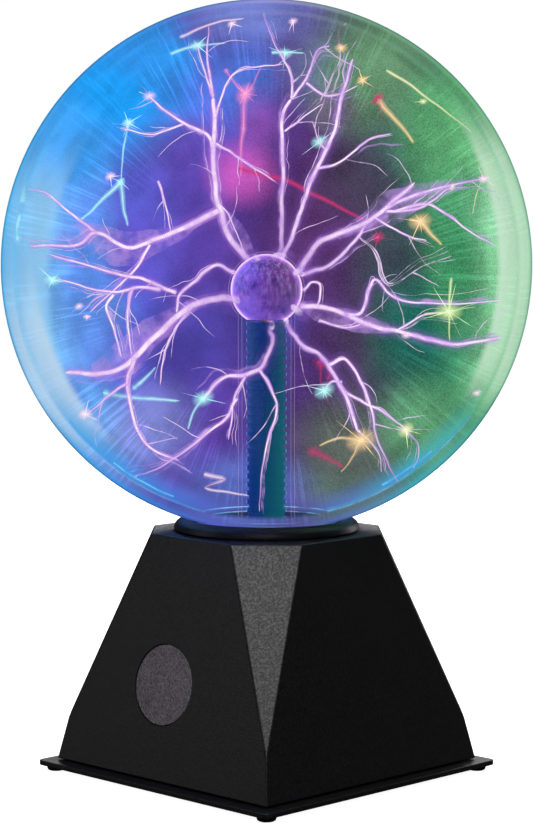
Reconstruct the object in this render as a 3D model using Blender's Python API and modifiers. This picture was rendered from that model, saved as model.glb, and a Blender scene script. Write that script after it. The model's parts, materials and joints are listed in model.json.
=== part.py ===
"""Desk plasma lamp: a sealed glass globe on a tapered black base.

The lamp stands on its rubber feet at z = 0 with +Z up. Its front, with the badge, faces -Y,
and its switch and power inlet are on the rear, facing +Y. Dimensions below are millimetres,
and the helper functions turn them into metres.
"""
import math

import bmesh
import bpy
from mathutils import Matrix, Vector

MM = 0.001
GAP = 0.3

# Heights that the rest of the lamp is built from
FOOT_HEIGHT = 1.0
PLATE_BOTTOM = FOOT_HEIGHT + GAP
PLATE_THICK = 1.3
PLATE_TOP = PLATE_BOTTOM + PLATE_THICK
BASE_BOTTOM = PLATE_TOP + GAP
BASE_TOP = 60.5
GLOBE_RADIUS = 65.0
GLOBE_Z = BASE_TOP + GLOBE_RADIUS

# Tapered base
TOP_HALF = 26.0
BOTTOM_HALF = 37.0
BASE_WALL = 2.0
CORNER_CUT = 12.2
FACET_TIP_Z = 12.8
TAPER = (BOTTOM_HALF - TOP_HALF) / (BASE_TOP - BASE_BOTTOM)
LEAN = math.atan(TAPER)
BOSS_RADIUS = 3.2
BOSS_XY = 28.5
BOSS_BOTTOM = 5.3
BOSS_TOP = 24.0

# Bottom plate
PLATE_HALF = 40.5
PLATE_CORNER = 1.5
RIM_HALF = 34.5
RIM_WALL = 1.5
RIM_TOP = BOSS_BOTTOM - GAP
CUP_RADIUS = 4.2
STANDOFF_X = 25.0
STANDOFF_Y = 19.0
FOOT_RADIUS = 2.3
FOOT_INSET = 3.4
COUNTERBORE_RADIUS = 3.1
COUNTERBORE_DEPTH = 2.2
STANDOFF_RADIUS = 2.8
VENT_HALF_LENGTH = 11.0
VENT_PITCH = 5.0
VENT_WIDTH = 2.0

# Glass
GLASS_WALL = 1.0
NECK_RADIUS = 15.0
NECK_BOTTOM = 46.0
SHOULDER_RADIUS = 18.0
SHOULDER_BORE = 16.4
FLARE_Z = 61.9
STEM_RADIUS = 7.0
STEM_WALL = 0.9
BULB_RADIUS = 9.4
BULB_Z = GLOBE_Z - 5.7
STEM_FLARE_Z = 66.0
STEM_FOOT = 49.0
COAT_GAP = 0.4
COAT_WALL = 0.5
COAT_MOUTH = 5.0
SLEEVE_RADIUS = 4.9
SLEEVE_BORE = 2.3
SLEEVE_BOTTOM = 50.0
SLEEVE_TOP = 112.0
RIDGE_PITCH = 2.1
RIDGE_DEPTH = 0.5
ROD_RADIUS = 1.3
ROD_BOTTOM = 41.0
ROD_TIP_RADIUS = 0.8

# Collar and neck clamp
NECK_HOLE = 16.4
COLLAR_RADIUS = 23.0
COLLAR_BORE = 18.5
CLAMP_RADIUS = 24.0
CLAMP_BORE = 15.4
CLAMP_SCREW_CIRCLE = 20.6
CLAMP_SCREW_HOLE = 1.8
CLAMP_BOSS_RADIUS = 2.6
PILOT_RADIUS = 1.6
CLAMP_TOP = 53.9
CLAMP_THICK = 3.3

# Badge
BADGE_X = -2.5
BADGE_Z = 25.5
BADGE_RADIUS = 9.7
BADGE_THICK = 0.7
POCKET_DEPTH = 1.2

# Rocker switch, in the rear face's own axes: across, up the face, and out of it
SWITCH_X = 14.0
SWITCH_Z = 24.0
SWITCH_WIDTH = 12.8
SWITCH_HEIGHT = 18.8
SWITCH_DEPTH = 11.0
BEZEL_WIDTH = 15.0
BEZEL_HEIGHT = 21.0
BEZEL_FRONT = 1.9
WELL_WIDTH = 10.4
WELL_HEIGHT = 15.4
WELL_DEPTH = 6.5
ROCKER_WIDTH = 9.6
ROCKER_HALF = 6.9
ROCKER_TILT = math.radians(12.0)
TRUNNION_RADIUS = 1.0
TRUNNION_LENGTH = 12.0
TRUNNION_HOLE = 1.08

# Power inlet
JACK_X = -14.0
JACK_Z = 14.0
JACK_RADIUS = 4.8
JACK_FLANGE = 6.5
JACK_DEPTH = 10.0
JACK_BORE = 2.9
JACK_BORE_DEPTH = 7.0
MIC_X = 0.0
MIC_HOLE = 1.0
MIC_RADIUS = 3.0

# Circuit board and what stands on it
BOARD_X = 58.0
BOARD_Y = 46.0
BOARD_BOTTOM = 8.0
BOARD_THICK = 1.6
BOARD_TOP = BOARD_BOTTOM + BOARD_THICK
DECK = BOARD_TOP + GAP
CORE_X = -8.0
CORE_Y = -4.0
LEG = 7.0
LEG_SPACING = 19.0
CORE_HALF_HEIGHT = 11.95
YOKE = 6.0

# Sides that round pieces are made with
LARGE_ROUND = 36
ROUND = 16
SMALL_ROUND = 8

MODEL = bpy.data.collections.new("plasma_lamp")
CUTTERS = bpy.data.collections.new("cutters")


# ---------------------------------------------------------------- helpers

def material(name, colour, roughness, metallic=0.0, transmission=0.0):
    """A Principled material of one plain finish."""
    made = bpy.data.materials.new(name)
    made.use_nodes = True
    shader = made.node_tree.nodes["Principled BSDF"]
    shader.inputs["Base Color"].default_value = (*colour, 1.0)
    shader.inputs["Roughness"].default_value = roughness
    shader.inputs["Metallic"].default_value = metallic
    shader.inputs["Transmission Weight"].default_value = transmission
    made.diffuse_color = (*colour, 1.0)
    return made


def add_object(name, data, finish, place=(0.0, 0.0, 0.0), parent=None):
    """Link an object into the lamp, placed in millimetres."""
    made = bpy.data.objects.new(name, data)
    made.location = Vector(place) * MM
    made.parent = parent
    if finish is not None:
        data.materials.append(finish)
    MODEL.objects.link(made)
    return made


def mesh_from(name, shape):
    """Turn a bmesh into a mesh with round faces smooth and hard edges sharp."""
    mesh = bpy.data.meshes.new(name)
    shape.to_mesh(mesh)
    shape.free()
    mesh.shade_smooth()
    mesh.set_sharp_from_angle(angle=math.radians(35.0))
    return mesh


def box(name, size, place, finish=None, parent=None):
    """A box of the given size, centred on its place."""
    shape = bmesh.new()
    bmesh.ops.create_cube(shape, size=1.0, matrix=Matrix.Diagonal((*(Vector(size) * MM), 1.0)))
    return add_object(name, mesh_from(name, shape), finish, place, parent)


def box_between(name, low, high, finish=None, parent=None):
    """A box given by its two opposite corners."""
    low, high = Vector(low), Vector(high)
    return box(name, high - low, (low + high) / 2, finish, parent)


def cylinders(name, radius, bottom, top, centres, finish=None, parent=None, segments=ROUND):
    """Upright cylinders of one size at several places, in one mesh."""
    shape = bmesh.new()
    for x, y in centres:
        spot = Matrix.Translation(Vector((x, y, (bottom + top) / 2)) * MM)
        bmesh.ops.create_cone(shape, cap_ends=True, segments=segments, radius1=radius * MM,
                              radius2=radius * MM, depth=(top - bottom) * MM, matrix=spot)
    return add_object(name, mesh_from(name, shape), finish, parent=parent)


def turned(name, profile, finish, place=(0.0, 0.0, 0.0), steps=ROUND, parent=None):
    """Turn a (radius, height) profile round Z; it runs down the outer side first."""
    on_axis = profile[0][0] == 0.0 and profile[-1][0] == 0.0
    shape = bmesh.new()
    points = [shape.verts.new((radius * MM, 0.0, height * MM)) for radius, height in profile]
    for first, second in zip(points, points[1:]):
        shape.edges.new((first, second))
    if not on_axis:
        shape.edges.new((points[-1], points[0]))
    mesh = bpy.data.meshes.new(name)
    shape.to_mesh(mesh)
    shape.free()
    made = add_object(name, mesh, finish, place, parent)
    turn = made.modifiers.new("turn", "SCREW")
    turn.axis = "Z"
    turn.steps = steps
    turn.render_steps = steps
    turn.use_merge_vertices = True
    turn.merge_threshold = 0.00001
    turn.use_smooth_shade = True
    return made


def arc(radius, centre_z, start, end, count):
    """Points (radius, height) on a circle about the axis, angles measured from the top."""
    angles = [start + (end - start) * step / count for step in range(count + 1)]
    return [(radius * math.sin(angle), centre_z + radius * math.cos(angle)) for angle in angles]


def outline(name, points, height, finish, place, parent=None):
    """Extrude a flat outline by a height, centred on its place, as a mesh object."""
    curve = bpy.data.curves.new(name, "CURVE")
    curve.dimensions = "2D"
    curve.fill_mode = "BOTH"
    curve.extrude = height / 2 * MM
    spline = curve.splines.new("POLY")
    spline.points.add(len(points) - 1)
    spline.use_cyclic_u = True
    for point, (x, y) in zip(spline.points, points):
        point.co = (x * MM, y * MM, 0.0, 1.0)
    source = bpy.data.objects.new(name + "_outline", curve)
    MODEL.objects.link(source)
    bpy.context.view_layer.update()
    evaluated = source.evaluated_get(bpy.context.evaluated_depsgraph_get())
    mesh = bpy.data.meshes.new_from_object(evaluated)
    bpy.data.objects.remove(source)
    shape = bmesh.new()
    shape.from_mesh(mesh)
    bmesh.ops.remove_doubles(shape, verts=shape.verts, dist=0.000001)
    shape.to_mesh(mesh)
    shape.free()
    return add_object(name, mesh, finish, place, parent)


def combine(target, other, operation):
    """Cut another shape from the target, or join it on; the other becomes a cutter."""
    change = target.modifiers.new(other.name, "BOOLEAN")
    change.operation = operation
    change.solver = "EXACT"
    change.object = other
    other.hide_render = True
    other.display_type = "WIRE"
    if other.name in MODEL.objects:
        MODEL.objects.unlink(other)
        CUTTERS.objects.link(other)


def cut(target, *others):
    for other in others:
        combine(target, other, "DIFFERENCE")


def join(target, *others):
    for other in others:
        combine(target, other, "UNION")


def smooth_route(points, per_span=3):
    """Points on a smooth curve through a lead's own points."""
    route = [Vector(point) for point in points]
    route = [2 * route[0] - route[1]] + route + [2 * route[-1] - route[-2]]
    made = []
    for before, first, second, after in zip(route, route[1:], route[2:], route[3:]):
        for step in range(per_span):
            t = step / per_span
            made.append(0.5 * (2 * first + (second - before) * t
                               + (2 * before - 5 * first + 4 * second - after) * t ** 2
                               + (3 * first - before - 3 * second + after) * t ** 3))
    return made + [route[-2]]


def lead(name, points, radius, finish):
    """A wire along a smooth route."""
    curve = bpy.data.curves.new(name, "CURVE")
    curve.dimensions = "3D"
    curve.bevel_depth = radius * MM
    curve.bevel_resolution = 2
    curve.use_fill_caps = True
    route = smooth_route(points)
    spline = curve.splines.new("POLY")
    spline.points.add(len(route) - 1)
    for point, place in zip(spline.points, route):
        point.co = (*(place * MM), 1.0)
    return add_object(name, curve, finish)


def face_height(z):
    """Half the base's width at a height."""
    return BOTTOM_HALF - (z - BASE_BOTTOM) * TAPER


def face_empty(name, side, x, z):
    """An empty on the front (-1) or rear (+1) face: its Z points out and its Y up the face."""
    made = bpy.data.objects.new(name, None)
    out = Vector((0.0, side * math.cos(LEAN), math.sin(LEAN)))
    up = Vector((0.0, -side * math.sin(LEAN), math.cos(LEAN)))
    turn = Matrix((up.cross(out), up, out)).transposed().to_4x4()
    made.matrix_world = Matrix.Translation(Vector((x, side * face_height(z), z)) * MM) @ turn
    MODEL.objects.link(made)
    return made


def screw(name, place, head_radius, head_height, shank_radius, length, finish, point_up=True):
    """A pan-head screw whose head's inner face is at its place."""
    point = 1.0
    profile = [(0.0, length), (shank_radius * 0.4, length), (shank_radius, length - point),
               (shank_radius, 0.0), (head_radius, 0.0), (head_radius, -head_height * 0.6),
               (head_radius * 0.7, -head_height), (0.0, -head_height)]
    made = turned(name, profile, finish, place, steps=SMALL_ROUND)
    if not point_up:
        made.rotation_euler = (math.pi, 0.0, 0.0)
    return made


# ---------------------------------------------------------------- glass and electrode

def build_globe(finish):
    shoulder = math.pi - math.asin(SHOULDER_RADIUS / GLOBE_RADIUS)
    outer = arc(GLOBE_RADIUS, GLOBE_Z, 0.0, math.pi / 2, 8)
    outer += arc(GLOBE_RADIUS, GLOBE_Z, math.pi / 2, shoulder, 7)[1:]
    neck_bore = NECK_RADIUS - GLASS_WALL
    inner_radius = GLOBE_RADIUS - GLASS_WALL
    inner_shoulder = math.pi - math.asin(SHOULDER_BORE / inner_radius)
    neck = [(NECK_RADIUS + 1.4, FLARE_Z), (NECK_RADIUS + 0.3, FLARE_Z - 1.7),
            (NECK_RADIUS, FLARE_Z - 3.9), (NECK_RADIUS, NECK_BOTTOM),
            (neck_bore, NECK_BOTTOM), (neck_bore, FLARE_Z - 2.4),
            (neck_bore + 0.8, FLARE_Z + 0.3)]
    inner = arc(inner_radius, GLOBE_Z, inner_shoulder, 0.0, 11)
    outer[0] = (0.0, GLOBE_Z + GLOBE_RADIUS)
    inner[-1] = (0.0, GLOBE_Z + inner_radius)
    turned("glass_globe", outer + neck + inner, finish, steps=LARGE_ROUND)


def build_stem(glass, metal, blue, brass):
    """The re-entrant tube with its bulb, and what stands inside it."""
    lower = math.pi - math.asin(STEM_RADIUS / BULB_RADIUS)
    bore = STEM_RADIUS - STEM_WALL
    inner_bulb = BULB_RADIUS - STEM_WALL
    inner_lower = math.pi - math.asin(bore / inner_bulb)
    outer = arc(BULB_RADIUS, BULB_Z, 0.0, lower, 8)
    neck_z = BULB_Z - 7.3
    outer += [(STEM_RADIUS, neck_z), (STEM_RADIUS, STEM_FLARE_Z), (7.6, 62.0), (9.5, 57.0),
              (11.8, 52.5), (13.0, STEM_FOOT)]
    inner = [(12.1, STEM_FOOT), (10.9, 53.0), (8.6, 57.2), (6.7, 62.0), (bore, STEM_FLARE_Z),
             (bore, neck_z + 0.4)]
    inner += arc(inner_bulb, BULB_Z, inner_lower, 0.0, 6)
    outer[0] = (0.0, BULB_Z + BULB_RADIUS)
    inner[-1] = (0.0, BULB_Z + inner_bulb)
    turned("glass_stem", outer + inner, glass)

    ball = inner_bulb - COAT_GAP
    mouth = math.pi - math.asin(COAT_MOUTH / ball)
    outside = arc(ball, BULB_Z, 0.0, mouth, 7)
    inside = arc(ball - COAT_WALL, BULB_Z, mouth, 0.0, 5)
    outside[0] = (0.0, BULB_Z + ball)
    inside[-1] = (0.0, BULB_Z + ball - COAT_WALL)
    turned("electrode_shell", outside + inside, metal)

    ridges = []
    height = SLEEVE_TOP
    while height - RIDGE_PITCH > SLEEVE_BOTTOM:
        ridges.append((SLEEVE_RADIUS, height))
        ridges.append((SLEEVE_RADIUS - RIDGE_DEPTH, height - RIDGE_PITCH / 2))
        height -= RIDGE_PITCH
    ridges += [(SLEEVE_RADIUS, SLEEVE_BOTTOM), (SLEEVE_BORE, SLEEVE_BOTTOM),
               (SLEEVE_BORE, SLEEVE_TOP)]
    turned("contact_sleeve", ridges, blue, steps=SMALL_ROUND)

    turned("contact_rod", [(0.0, BULB_Z), (ROD_TIP_RADIUS, BULB_Z),
                           (ROD_RADIUS, BULB_Z - ROD_TIP_RADIUS), (ROD_RADIUS, ROD_BOTTOM),
                           (0.0, ROD_BOTTOM)], brass, steps=SMALL_ROUND)


def build_collar(black, rubber, steel):
    """The visible ring, and the gasket and clamp that hold the neck from inside."""
    seat = BASE_TOP + GAP
    turned("collar_ring", [(19.3, seat + 2.3), (20.4, seat + 2.7), (21.5, seat + 2.4),
                           (22.4, seat + 1.7), (22.9, seat + 0.8), (COLLAR_RADIUS, seat),
                           (COLLAR_BORE, seat), (COLLAR_BORE, seat + 1.8)], black,
           steps=LARGE_ROUND)
    roof = BASE_TOP - BASE_WALL
    turned("neck_gasket", [(17.9, roof - 0.4), (17.9, CLAMP_TOP + GAP),
                           (CLAMP_BORE, CLAMP_TOP + GAP), (CLAMP_BORE, roof - 0.4)], rubber)
    clamp_bottom = CLAMP_TOP - CLAMP_THICK
    clamp = turned("neck_clamp", [(CLAMP_RADIUS, CLAMP_TOP), (CLAMP_RADIUS, clamp_bottom),
                                  (CLAMP_BORE, clamp_bottom), (CLAMP_BORE, CLAMP_TOP)],
                   black, steps=24)
    spots = clamp_spots()
    cut(clamp, cylinders("clamp_holes", CLAMP_SCREW_HOLE, clamp_bottom - 1, CLAMP_TOP + 1,
                         spots))
    for number, (x, y) in enumerate(spots, start=1):
        screw(f"clamp_screw_{number}", (x, y, clamp_bottom - GAP), 2.6, 1.4, 1.3, 6.6, steel)


def clamp_spots():
    angles = [math.radians(angle) for angle in (90.0, 210.0, 330.0)]
    return [(CLAMP_SCREW_CIRCLE * math.cos(a), CLAMP_SCREW_CIRCLE * math.sin(a)) for a in angles]


def corner_spots(x, y):
    return [(x, y), (-x, y), (-x, -y), (x, -y)]


# ---------------------------------------------------------------- base

def tapered_body():
    """The base's outer surface, open below: a four-sided frustum with its corners cut away."""
    skirt = 1.0
    bottom = BASE_BOTTOM - skirt
    shape = bmesh.new()
    middle = Vector((0.0, 0.0, (bottom + BASE_TOP) / 2)) * MM
    turn = Matrix.Translation(middle) @ Matrix.Rotation(math.radians(45.0), 4, "Z")
    bmesh.ops.create_cone(shape, cap_ends=True, segments=4, matrix=turn,
                          radius1=face_height(bottom) * math.sqrt(2) * MM,
                          radius2=TOP_HALF * math.sqrt(2) * MM, depth=(BASE_TOP - bottom) * MM)
    for x_side, y_side in ((1, 1), (-1, 1), (-1, -1), (1, -1)):
        tip_half = face_height(FACET_TIP_Z)
        tip = Vector((x_side * tip_half, y_side * tip_half, FACET_TIP_Z)) * MM
        along_x = Vector((x_side * (TOP_HALF - CORNER_CUT), y_side * TOP_HALF, BASE_TOP)) * MM
        along_y = Vector((x_side * TOP_HALF, y_side * (TOP_HALF - CORNER_CUT), BASE_TOP)) * MM
        normal = (along_x - tip).cross(along_y - tip)
        if normal.x * x_side < 0:
            normal = -normal
        bmesh.ops.bisect_plane(shape, geom=shape.verts[:] + shape.edges[:] + shape.faces[:],
                               dist=0.000001, plane_co=tip, plane_no=normal, clear_outer=True)
        rim = [edge for edge in shape.edges if edge.is_boundary]
        bmesh.ops.holes_fill(shape, edges=rim)
    bmesh.ops.recalc_face_normals(shape, faces=shape.faces)
    floor = [face for face in shape.faces if face.normal.z < -0.9]
    bmesh.ops.delete(shape, geom=floor, context="FACES_ONLY")
    return mesh_from("base_housing", shape)


def build_housing(black):
    housing = add_object("base_housing", tapered_body(), black)
    wall = housing.modifiers.new("wall", "SOLIDIFY")
    wall.thickness = BASE_WALL * MM
    wall.offset = -1.0
    wall.use_even_offset = True
    corners = corner_spots(BOSS_XY, BOSS_XY)
    clamps = clamp_spots()
    join(housing, cylinders("corner_bosses", BOSS_RADIUS, BOSS_BOTTOM, BOSS_TOP, corners),
         cylinders("clamp_bosses", CLAMP_BOSS_RADIUS, CLAMP_TOP + GAP, BASE_TOP - 1.0,
                   clamps))
    width = 2 * PLATE_HALF
    cut(housing, box_between("trim_below", (-width, -width, -5.0), (width, width, BASE_BOTTOM)),
        cylinders("neck_hole", NECK_HOLE, 56.0, 62.0, [(0.0, 0.0)],
                  segments=LARGE_ROUND),
        cylinders("corner_pilots", PILOT_RADIUS, 4.0, 18.0, corners, segments=SMALL_ROUND),
        cylinders("clamp_pilots", PILOT_RADIUS, 52.0, 57.8, clamps, segments=SMALL_ROUND))
    badge = face_empty("badge_place", -1, BADGE_X, BADGE_Z)
    cut(housing, cylinders("badge_pocket", BADGE_RADIUS + GAP, -POCKET_DEPTH, 2.0,
                           [(0.0, 0.0)], parent=badge, segments=LARGE_ROUND))
    switch = face_empty("switch_hole_place", 1, SWITCH_X, SWITCH_Z)
    cut(housing, box("switch_opening", (SWITCH_WIDTH + 2 * GAP, SWITCH_HEIGHT + 2 * GAP, 8.0),
                     (0.0, 0.0, -1.0), parent=switch))
    jack = face_empty("jack_hole_place", 1, JACK_X, JACK_Z)
    cut(housing, cylinders("jack_hole", JACK_RADIUS + GAP, -4.0, 2.0, [(0.0, 0.0)],
                           parent=jack))
    microphone = face_empty("mic_hole_place", 1, MIC_X, JACK_Z)
    cut(housing, cylinders("mic_hole", MIC_HOLE, -4.0, 2.0, [(0.0, 0.0)],
                           parent=microphone, segments=SMALL_ROUND))


def build_badge(grey):
    place = face_empty("badge_frame", -1, BADGE_X, BADGE_Z)
    floor = GAP - POCKET_DEPTH
    cylinders("badge_disc", BADGE_RADIUS, floor, floor + BADGE_THICK, [(0.0, 0.0)], grey,
              place, segments=LARGE_ROUND)


def build_plate(black, rubber, steel):
    """The bottom plate with its locating rim, screw cups and board standoffs."""
    plate = box_between("bottom_plate", (-PLATE_HALF, -PLATE_HALF, PLATE_BOTTOM),
                        (PLATE_HALF, PLATE_HALF, PLATE_TOP), black)
    shape = bmesh.new()
    shape.from_mesh(plate.data)
    upright = [edge for edge in shape.edges
               if abs((edge.verts[0].co - edge.verts[1].co).z) > 0.5 * PLATE_THICK * MM]
    bmesh.ops.bevel(shape, geom=upright, offset=PLATE_CORNER * MM, segments=4, profile=0.5,
                    affect="EDGES", material=-1)
    shape.to_mesh(plate.data)
    shape.free()

    sink = PLATE_TOP - 0.6
    inside = RIM_HALF - RIM_WALL
    rim = box_between("rim", (-RIM_HALF, -RIM_HALF, sink), (RIM_HALF, RIM_HALF, RIM_TOP))
    cut(rim, box_between("rim_inside", (-inside, -inside, 0.0), (inside, inside, 9.0)))
    corners = corner_spots(BOSS_XY, BOSS_XY)
    standoffs = corner_spots(STANDOFF_X, STANDOFF_Y)
    join(plate, rim, cylinders("screw_cups", CUP_RADIUS, sink, RIM_TOP, corners),
         cylinders("standoffs", STANDOFF_RADIUS, sink, BOARD_BOTTOM - GAP, standoffs,
                   segments=SMALL_ROUND + 4))
    counterbore_top = PLATE_BOTTOM + COUNTERBORE_DEPTH
    slots = []
    for number in range(-2, 3):
        low, high = VENT_PITCH * number - VENT_WIDTH / 2, VENT_PITCH * number + VENT_WIDTH / 2
        slots.append(box_between(f"vent_{number + 3}", (-VENT_HALF_LENGTH, low, 0.0),
                                 (VENT_HALF_LENGTH, high, 4.0)))
    cut(plate, cylinders("counterbores", COUNTERBORE_RADIUS, 0.0, counterbore_top, corners),
        cylinders("screw_clearance", 1.7, 0.0, 9.0, corners, segments=SMALL_ROUND),
        cylinders("standoff_pilots", 1.4, 3.6, 9.0, standoffs, segments=SMALL_ROUND), *slots)

    for number, (x, y) in enumerate(corners, start=1):
        screw(f"plate_screw_{number}", (x, y, counterbore_top - GAP), 2.8, 1.6, 1.3, 12.0,
              steel)
    reach = PLATE_HALF - FOOT_INSET
    for number, (x, y) in enumerate(corner_spots(reach, reach), start=1):
        turned(f"rubber_foot_{number}", [(0.0, FOOT_HEIGHT), (FOOT_RADIUS, FOOT_HEIGHT),
                                         (FOOT_RADIUS * 0.93, 0.45), (FOOT_RADIUS * 0.7, 0.0),
                                         (0.0, 0.0)], rubber, (x, y, 0.0), steps=12)


# ---------------------------------------------------------------- rear face

def build_switch(black, brass):
    """Three-position rocker switch; its rocker rests pressed in at the top."""
    place = face_empty("switch_frame", 1, SWITCH_X, SWITCH_Z)
    body = box_between("switch_body", (-SWITCH_WIDTH / 2, -SWITCH_HEIGHT / 2, -SWITCH_DEPTH),
                       (SWITCH_WIDTH / 2, SWITCH_HEIGHT / 2, 1.0), black, place)
    join(body, box_between("bezel", (-BEZEL_WIDTH / 2, -BEZEL_HEIGHT / 2, GAP),
                           (BEZEL_WIDTH / 2, BEZEL_HEIGHT / 2, BEZEL_FRONT), parent=place))
    well = box_between("well", (-WELL_WIDTH / 2, -WELL_HEIGHT / 2, -WELL_DEPTH),
                       (WELL_WIDTH / 2, WELL_HEIGHT / 2, BEZEL_FRONT + 1.0), parent=place)
    bearing = cylinders("bearing", TRUNNION_HOLE, -6.3, 6.3, [(0.0, 0.0)], parent=place)
    bearing.rotation_euler = (0.0, math.pi / 2, 0.0)
    cut(body, well, bearing)

    tilt = bpy.data.objects.new("rocker_tilt", None)
    tilt.parent = place
    tilt.rotation_euler = (-ROCKER_TILT, 0.0, 0.0)
    MODEL.objects.link(tilt)
    belly = [(ROCKER_HALF * 0.8 * math.cos(angle), -1.0 + 4.4 * math.sin(angle))
             for angle in [math.radians(step) for step in range(200, 341, 20)]]
    face = [(ROCKER_HALF, -0.4), (ROCKER_HALF, 2.3), (ROCKER_HALF - 0.5, 2.7), (0.0, 1.6),
            (0.5 - ROCKER_HALF, 2.7), (-ROCKER_HALF, 2.3), (-ROCKER_HALF, -0.4)]
    rocker = outline("switch_rocker", belly + face, ROCKER_WIDTH, black, (0.0, 0.0, 0.0), tilt)
    rocker.rotation_euler = (math.pi / 2, 0.0, math.pi / 2)
    half = TRUNNION_LENGTH / 2
    join(rocker, cylinders("trunnion", TRUNNION_RADIUS, -half, half, [(0.0, 0.0)],
                           parent=rocker))

    for number, rise in enumerate((-6.0, 0.0, 6.0), start=1):
        box(f"switch_terminal_{number}", (4.4, 0.8, 4.6),
            (0.0, rise, -SWITCH_DEPTH - GAP - 2.3), brass, place)


def build_jack(black, steel):
    """Panel inlet for a round power plug."""
    place = face_empty("jack_frame", 1, JACK_X, JACK_Z)
    front = GAP + 1.5
    turned("jack_body", [(0.0, -JACK_BORE_DEPTH), (JACK_BORE, -JACK_BORE_DEPTH),
                         (JACK_BORE, front), (JACK_FLANGE - 0.6, front),
                         (JACK_FLANGE, front - 0.6), (JACK_FLANGE, GAP), (JACK_RADIUS, GAP),
                         (JACK_RADIUS, -JACK_DEPTH), (0.0, -JACK_DEPTH)], black, parent=place)
    nut = cylinders("jack_nut", 7.3, -4.7, -BASE_WALL - GAP, [(0.0, 0.0)], steel, place,
                    segments=6)
    cut(nut, cylinders("nut_bore", JACK_RADIUS + GAP, -6.0, 0.0, [(0.0, 0.0)], parent=place))
    turned("jack_pin", [(0.0, 0.8), (0.6, 0.8), (1.0, 0.3), (1.0, GAP - JACK_BORE_DEPTH),
                        (0.0, GAP - JACK_BORE_DEPTH)], steel, steps=SMALL_ROUND, parent=place)
    ear = face_empty("mic_frame", 1, MIC_X, JACK_Z)
    cylinders("microphone", MIC_RADIUS, -6.0, -BASE_WALL - GAP, [(0.0, 0.0)], steel, ear)


# ---------------------------------------------------------------- circuit

def build_board(green, steel):
    board = box_between("circuit_board", (-BOARD_X / 2, -BOARD_Y / 2, BOARD_BOTTOM),
                        (BOARD_X / 2, BOARD_Y / 2, BOARD_TOP), green)
    spots = corner_spots(STANDOFF_X, STANDOFF_Y)
    cut(board, cylinders("board_holes", 1.5, 7.0, 11.0, spots, segments=SMALL_ROUND))
    for number, (x, y) in enumerate(spots, start=1):
        screw(f"board_screw_{number}", (x, y, DECK), 2.4, 1.4, 1.0, 5.0, steel,
              point_up=False)


def build_transformer(ferrite, white, copper, tape):
    """Two U-shaped ferrite halves with the low- and high-voltage windings on their legs."""
    left = CORE_X - (LEG_SPACING + LEG) / 2
    right = CORE_X + (LEG_SPACING + LEG) / 2
    front, back = CORE_Y - LEG / 2, CORE_Y + LEG / 2
    parting = DECK + CORE_HALF_HEIGHT
    halves = (("core_lower", DECK, DECK + YOKE, 1.0),
              ("core_upper", parting + GAP, parting + GAP + CORE_HALF_HEIGHT - YOKE, -1.0))
    for name, bottom, edge, opens_up in halves:
        half = box_between(name, (left, front, bottom),
                           (right, back, bottom + CORE_HALF_HEIGHT), ferrite)
        low, high = (edge, edge + 9.0) if opens_up > 0 else (edge - 9.0, edge)
        cut(half, box_between(name + "_window", (left + LEG, front - 1, low),
                              (right - LEG, back + 1, high)))
    middle = parting + GAP / 2
    window = CORE_HALF_HEIGHT - YOKE
    low, high = middle - window + GAP, middle + window - GAP
    bobbin_x = CORE_X - LEG_SPACING / 2
    turned("bobbin", [(9.2, high), (9.2, high - 1.2), (6.3, high - 1.2), (6.3, low + 1.2),
                      (9.2, low + 1.2), (9.2, low), (5.3, low), (5.3, high)], white,
           (bobbin_x, CORE_Y, 0.0))
    turned("secondary_winding", [(8.8, high - 1.5), (8.8, low + 1.5), (6.6, low + 1.5),
                                 (6.6, high - 1.5)], tape, (bobbin_x, CORE_Y, 0.0))
    turned("primary_winding", [(7.2, high), (7.2, low), (5.3, low), (5.3, high)], copper,
           (CORE_X + LEG_SPACING / 2, CORE_Y, 0.0))


def build_power_stage(aluminium, black, steel):
    """Finned heat sink with the power transistor screwed to it."""
    sink_x, sink_back = 23.0, 24.6
    fin_tip, fin, pitch, count = 28.2, 1.2, 4.2, 6
    start, tall, hole_z = -14.0, 20.0, 27.0
    case_x, half = 18.2, 5.0
    end = start + pitch * (count - 1) + fin
    comb = [(sink_x, end), (sink_x, start)]
    for number in range(count):
        low = start + pitch * number
        comb += [(fin_tip, low), (fin_tip, low + fin)]
        if number < count - 1:
            comb += [(sink_back, low + fin), (sink_back, low + pitch)]
    sink = outline("heatsink", comb, tall, aluminium, (0.0, 0.0, DECK + tall / 2))
    y = start + pitch * 2.5 + fin / 2
    hole = cylinders("transistor_hole", 1.8, -4.0, 4.0, [(0.0, 0.0)],
                     segments=SMALL_ROUND)
    hole.location = Vector((sink_x - 0.2, y, hole_z)) * MM
    hole.rotation_euler = (0.0, math.pi / 2, 0.0)
    cut(sink, hole)
    face, tab = sink_x - GAP, sink_x - 1.6
    transistor = box_between("transistor", (case_x, y - half, 15.0), (face, y + half, 24.0),
                             black)
    join(transistor, box_between("tab", (tab, y - half, 23.0), (face, y + half, 29.6)))
    for number, offset in enumerate((-2.5, 0.0, 2.5), start=1):
        join(transistor, box_between(f"leg_{number}", (19.6, y + offset - 0.4, DECK),
                                     (20.4, y + offset + 0.4, 16.0)))
    cut(transistor, hole)
    fixing = screw("heatsink_screw", (tab - GAP, y, hole_z), 2.6, 1.6, 1.4, 3.2, steel)
    fixing.rotation_euler = (0.0, math.pi / 2, 0.0)


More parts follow.
